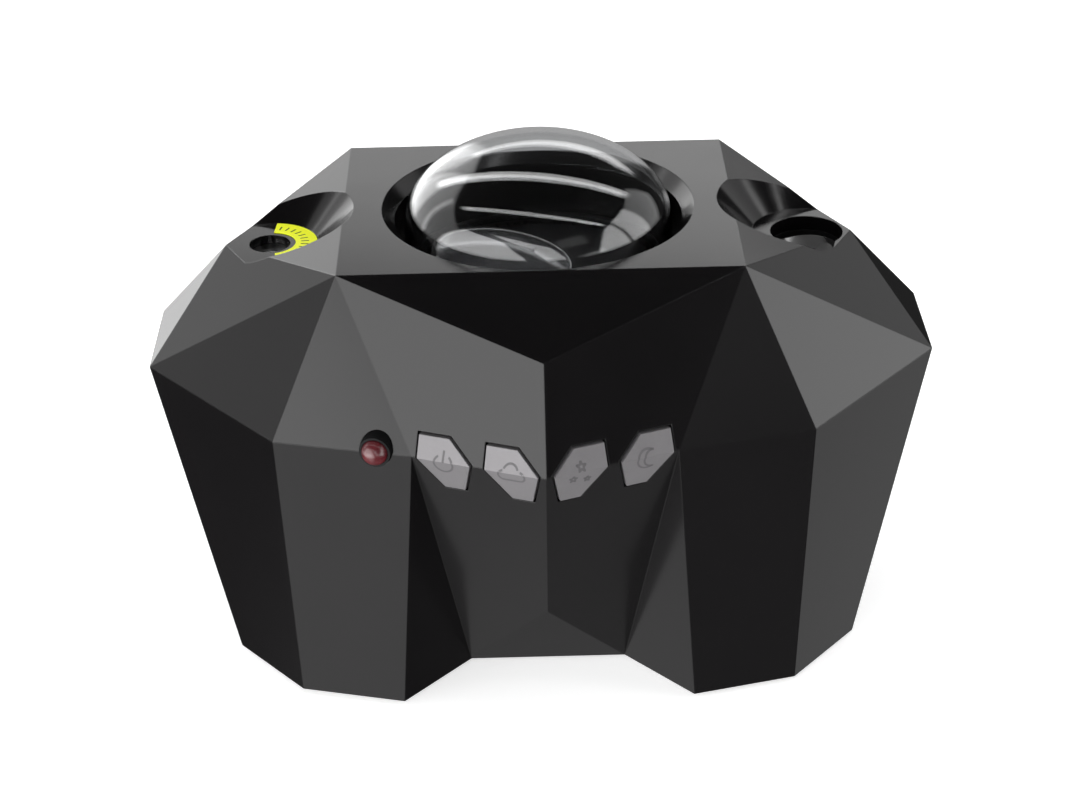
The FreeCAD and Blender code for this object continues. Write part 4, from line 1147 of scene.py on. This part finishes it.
@dataclass(frozen=True)
class Panel:
    """A bright flat panel of the studio, as the object sees it.

    Its corners are (azimuth, elevation) in degrees, its border is soft by edge degrees.
    """

    corners: Tuple[Point2, ...]
    strength: float
    edge: float = 1.0

    def mask(self, graph: Graph, way: bpy.types.NodeSocket) -> Operand:
        """Its light in each direction.

        Args:
            graph: the world's graph.
            way: the direction of view.

        Returns:
            Its strength inside the outline, 0 outside.
        """
        points = [toward(*corner) for corner in self.corners]
        middle = sum(points, Vector()).normalized()
        soft = sine(self.edge)
        total: Operand = self.strength
        for here, there in zip(points, points[1:] + points[:1]):
            normal = here.cross(there).normalized()
            normal = normal if normal.dot(middle) > 0.0 else -normal
            total = total * graph.dot(way, normal).step(-soft, soft)
        return total


@dataclass(frozen=True)
class Streak:
    """A thin bright arc of the studio: part of a circle round an axis, as the object sees it.

    The arc is cut off beyond reach degrees from its middle, and fades out over the last of them.
    """

    axis: Point2
    radius: float
    half_width: float
    middle: Point2
    reach: float
    strength: float
    edge: float = 0.4
    fade: float = 8.0

    def mask(self, graph: Graph, way: bpy.types.NodeSocket) -> Operand:
        """Its light in each direction.

        Args:
            graph: the world's graph.
            way: the direction of view.

        Returns:
            Its strength on the arc, 0 off it.
        """
        along = graph.dot(way, toward(*self.axis))
        far, near = self.radius + self.half_width, self.radius - self.half_width
        outer = along.step(cosine(far + self.edge), cosine(far))
        inner = along.step(cosine(near - self.edge), cosine(near))
        ends = graph.dot(way, toward(*self.middle)).step(cosine(self.reach), cosine(self.reach - self.fade))
        return outer * inner * ends * self.strength


# Each light is named by its place round the object, seen from the camera's side.
LIGHTS: Dict[str, Union[Panel, Streak]] = {
    "wide sheet, back left": Panel(
        ((-96, -20), (-96, 32), (-54, 41), (-27, 39), (-14, 24), (-9, -20)), 0.72),
    "glow on that sheet": Panel(
        ((-64, -18), (-64, 39), (-27, 38), (-14, 21), (-9, -18)), 0.42, 4.0),
    "window in that sheet": Panel(
        ((-47, -24), (-47, 12), (-41, 26), (-35, 39), (-30, 38), (-27, 20), (-25, -24)), 1.25),
    "window's right neighbour": Panel(
        ((-26, -12), (-25, 23), (-12, 24), (-7, -12)), 0.75, 1.5),
    "slit left of the window": Panel(
        ((-59, 39), (-55, 39), (-65, -18), (-70, -18)), 1.5, 0.8),
    "long lamp, straight behind": Panel(
        ((-16, 19), (-15, 23.5), (8, 26.5), (27, 26), (32, 19), (16, 18.5)), 2.05),
    "wall under the long lamp": Panel(
        ((-4, -19), (-12, 5), (-13, 19), (24, 19), (21, 5), (12, -19)), 0.34, 1.5),
    "floor behind": Panel(
        ((-40, -42), (-40, -20), (40, -20), (40, -42)), 0.40),
    "sheet, back right": Panel(
        ((42, -14), (44, 4), (41, 20), (31, 33), (58, 37), (74, 38), (73, 0), (68, -16)), 0.74, 0.9),
    "window, right": Panel(
        ((71, -22), (74, 38), (98, 39), (92, -24)), 2.8, 1.2),
    "window, front right": Panel(
        ((101, 38), (110, 37), (121, 25), (128, 8), (132, -14), (95, -24)), 3.2, 1.2),
    "dim foot of that window": Panel(
        ((122, 10), (148, 5), (152, -12), (126, -16)), 1.4, 1.5),
    "haze over that window": Panel(
        ((134, 27), (134, 42), (162, 42), (162, 27)), 0.32, 3.0),
    "floor, front right": Panel(
        ((125, -50), (125, -28), (160, -28), (160, -50)), 0.12, 4.0),
    "great round window, front left": Panel(
        ((-81, -16), (-91, 20), (-103, 38), (-138, 37.5), (-153, 35), (-168, 8),
         (-180, -10), (-178, -24), (-87, -24)), 3.5),
    "upper rim of that window": Panel(
        ((-108, 40), (-150, 44), (-176, 37), (-176, 24), (-154, 37)), 3.0),
    "right rim of that window": Panel(
        ((-176, 37), (170, 31), (154, -3), (152, -16), (163, -14), (-176, 22)), 2.6),
    "bright foot of that window": Panel(
        ((-102, -18), (-112, -4), (-121, 2), (-140, 4.5), (-160, 2), (-156, -22)), 2.4, 0.8),
    "floor, front left": Panel(
        ((-172, -58), (-172, -26), (-112, -26), (-112, -58)), 1.05, 8.0),
    "floor, right": Panel(
        ((54, -43), (54, -26), (75, -26), (73, -43)), 0.50, 3.0),
    "floor, left": Panel(
        ((-100, -52), (-100, -36), (-72, -36), (-72, -52)), 0.62, 3.0),
    "floor close by, left": Panel(
        ((-140, -78), (-140, -60), (-90, -60), (-90, -78)), 0.30, 6.0),
    "hoop over the back": Streak((11.0, 13.0), 46.0, 2.2, (0.0, 52.2), 45.0, 5.0, 1.2),
    "thin hoop overhead": Streak((19.1, 30.2), 68.8, 1.0, (-175.0, 81.6), 50.0, 5.6),
}


@dataclass(frozen=True)
class Studio:
    """Pale floor, soft surroundings and the camera. Its angles are in degrees."""

    floor_size: float = 8.0
    floor_tone: Rgb = (0.86, 0.86, 0.86)
    floor_roughness: float = 0.9
    floor_glow: float = 0.62
    fill: float = 0.03
    low_fill: float = 0.21
    low_from: float = 45.0
    low_full: float = 60.0
    lens: float = 85.17
    sensor: float = 36.0
    nearest: float = 0.01
    farthest: float = 50.0
    eye: Point3 = (-4.583 * MM, -477.617 * MM, 300.035 * MM)
    yaw: float = 0.508
    pitch: float = -28.11
    roll: float = -1.155

    def build(self) -> None:
        """Floor, world and camera."""
        self.floor()
        self.world()
        self.camera()
        bpy.context.scene.view_settings.view_transform = "Standard"

    def floor(self) -> None:
        """A wide pale sheet that the object's shine and glass don't see: the panels light them instead."""
        half = self.floor_size / 2.0
        corners = [(-half, -half, 0), (half, -half, 0), (half, half, 0), (-half, half, 0)]
        mesh = bpy.data.meshes.new("floor")
        mesh.from_pydata(corners, [], [(0, 1, 2, 3)])
        material, graph = new_graph("floor_white")
        graph.surface({
            "Base Color": (*self.floor_tone, 1.0),
            "Roughness": self.floor_roughness,
            "Emission Color": WHITE,
            "Emission Strength": self.floor_glow,
        })
        floor = new_piece("floor", mesh, material)
        floor.visible_glossy = False
        floor.visible_transmission = False
        floor.visible_shadow = False

    def world(self) -> None:
        """The lights as parts of the surroundings, and a plain white backdrop for the camera."""
        world = bpy.data.worlds.new("studio")
        bpy.context.scene.world = world
        world.use_nodes = True
        graph = Graph(world.node_tree)
        way = graph.node("ShaderNodeTexCoord", {}, {}).outputs["Generated"]
        depth = graph.dot(way, Vector((0.0, 0.0, -1.0)))
        total = self.fill + depth.step(sine(self.low_from), sine(self.low_full)) * self.low_fill
        for light in LIGHTS.values():
            total = total + light.mask(graph, way)
        lit = graph.node("ShaderNodeBackground", {}, {"Color": WHITE, "Strength": total})
        plain = graph.node("ShaderNodeBackground", {}, {"Color": WHITE, "Strength": 1.0})
        ray = graph.node("ShaderNodeLightPath", {}, {}).outputs["Is Camera Ray"]
        mix = graph.node("ShaderNodeMixShader", {}, {0: ray, 1: lit.outputs[0], 2: plain.outputs[0]})
        graph.node("ShaderNodeOutputWorld", {}, {"Surface": mix.outputs[0]})

    def camera(self) -> None:
        """The camera at the viewer's place, turned by yaw, pitch and roll."""
        data = bpy.data.cameras.new("camera")
        data.lens = self.lens
        data.sensor_width = self.sensor
        data.clip_start = self.nearest
        data.clip_end = self.farthest
        camera = bpy.data.objects.new("camera", data)
        yaw, pitch, roll = (math.radians(a) for a in (self.yaw, self.pitch, self.roll))
        level_share = math.cos(pitch)
        forward = Vector((math.sin(yaw) * level_share, math.cos(yaw) * level_share, math.sin(pitch)))
        level = Vector((math.cos(yaw), -math.sin(yaw), 0.0))
        upright = level.cross(forward)
        right = level * math.cos(roll) + upright * math.sin(roll)
        up = upright * math.cos(roll) - level * math.sin(roll)
        turn = Matrix((right, up, -forward)).transposed().to_4x4()
        camera.matrix_world = Matrix.Translation(Vector(self.eye)) @ turn
        bpy.context.scene.collection.objects.link(camera)
        bpy.context.scene.camera = camera


# --- the whole ---

def dress_frame(frame: Dict[str, Any], paints: Paintbox) -> None:
    """Gives each of the frame's nodes the finish of its slot, and the large lens one of its own.

    Args:
        paints: the finishes.
    """
    slots = {part["node"]: part["material_slot"] for part in frame["record"]["subparts"]}
    for name, node in frame["nodes"].items():
        if name == "view_lens":
            material = MilkyLens().build("milky_lens")
        else:
            material = paints.of(Finish(slots[name]))
        for slot in node.material_slots:
            slot.material = material
        LOG.info("node %s gets %s", name, material.name)


def main() -> None:
    """Loads the frame, dresses it, adds the pieces and sets the studio."""
    logging.basicConfig(level=logging.INFO, format="%(name)s: %(message)s")
    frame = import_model()
    paints = Paintbox()
    dress_frame(frame, paints)
    pieces = [Dome().build(paints), OutletTicks().build(), *ButtonSigns().build(frame)]
    for piece in pieces:
        LOG.info("piece %s has %d faces", piece.name, len(piece.data.polygons))
    Studio().build()


if __name__ == "__main__":
    main()
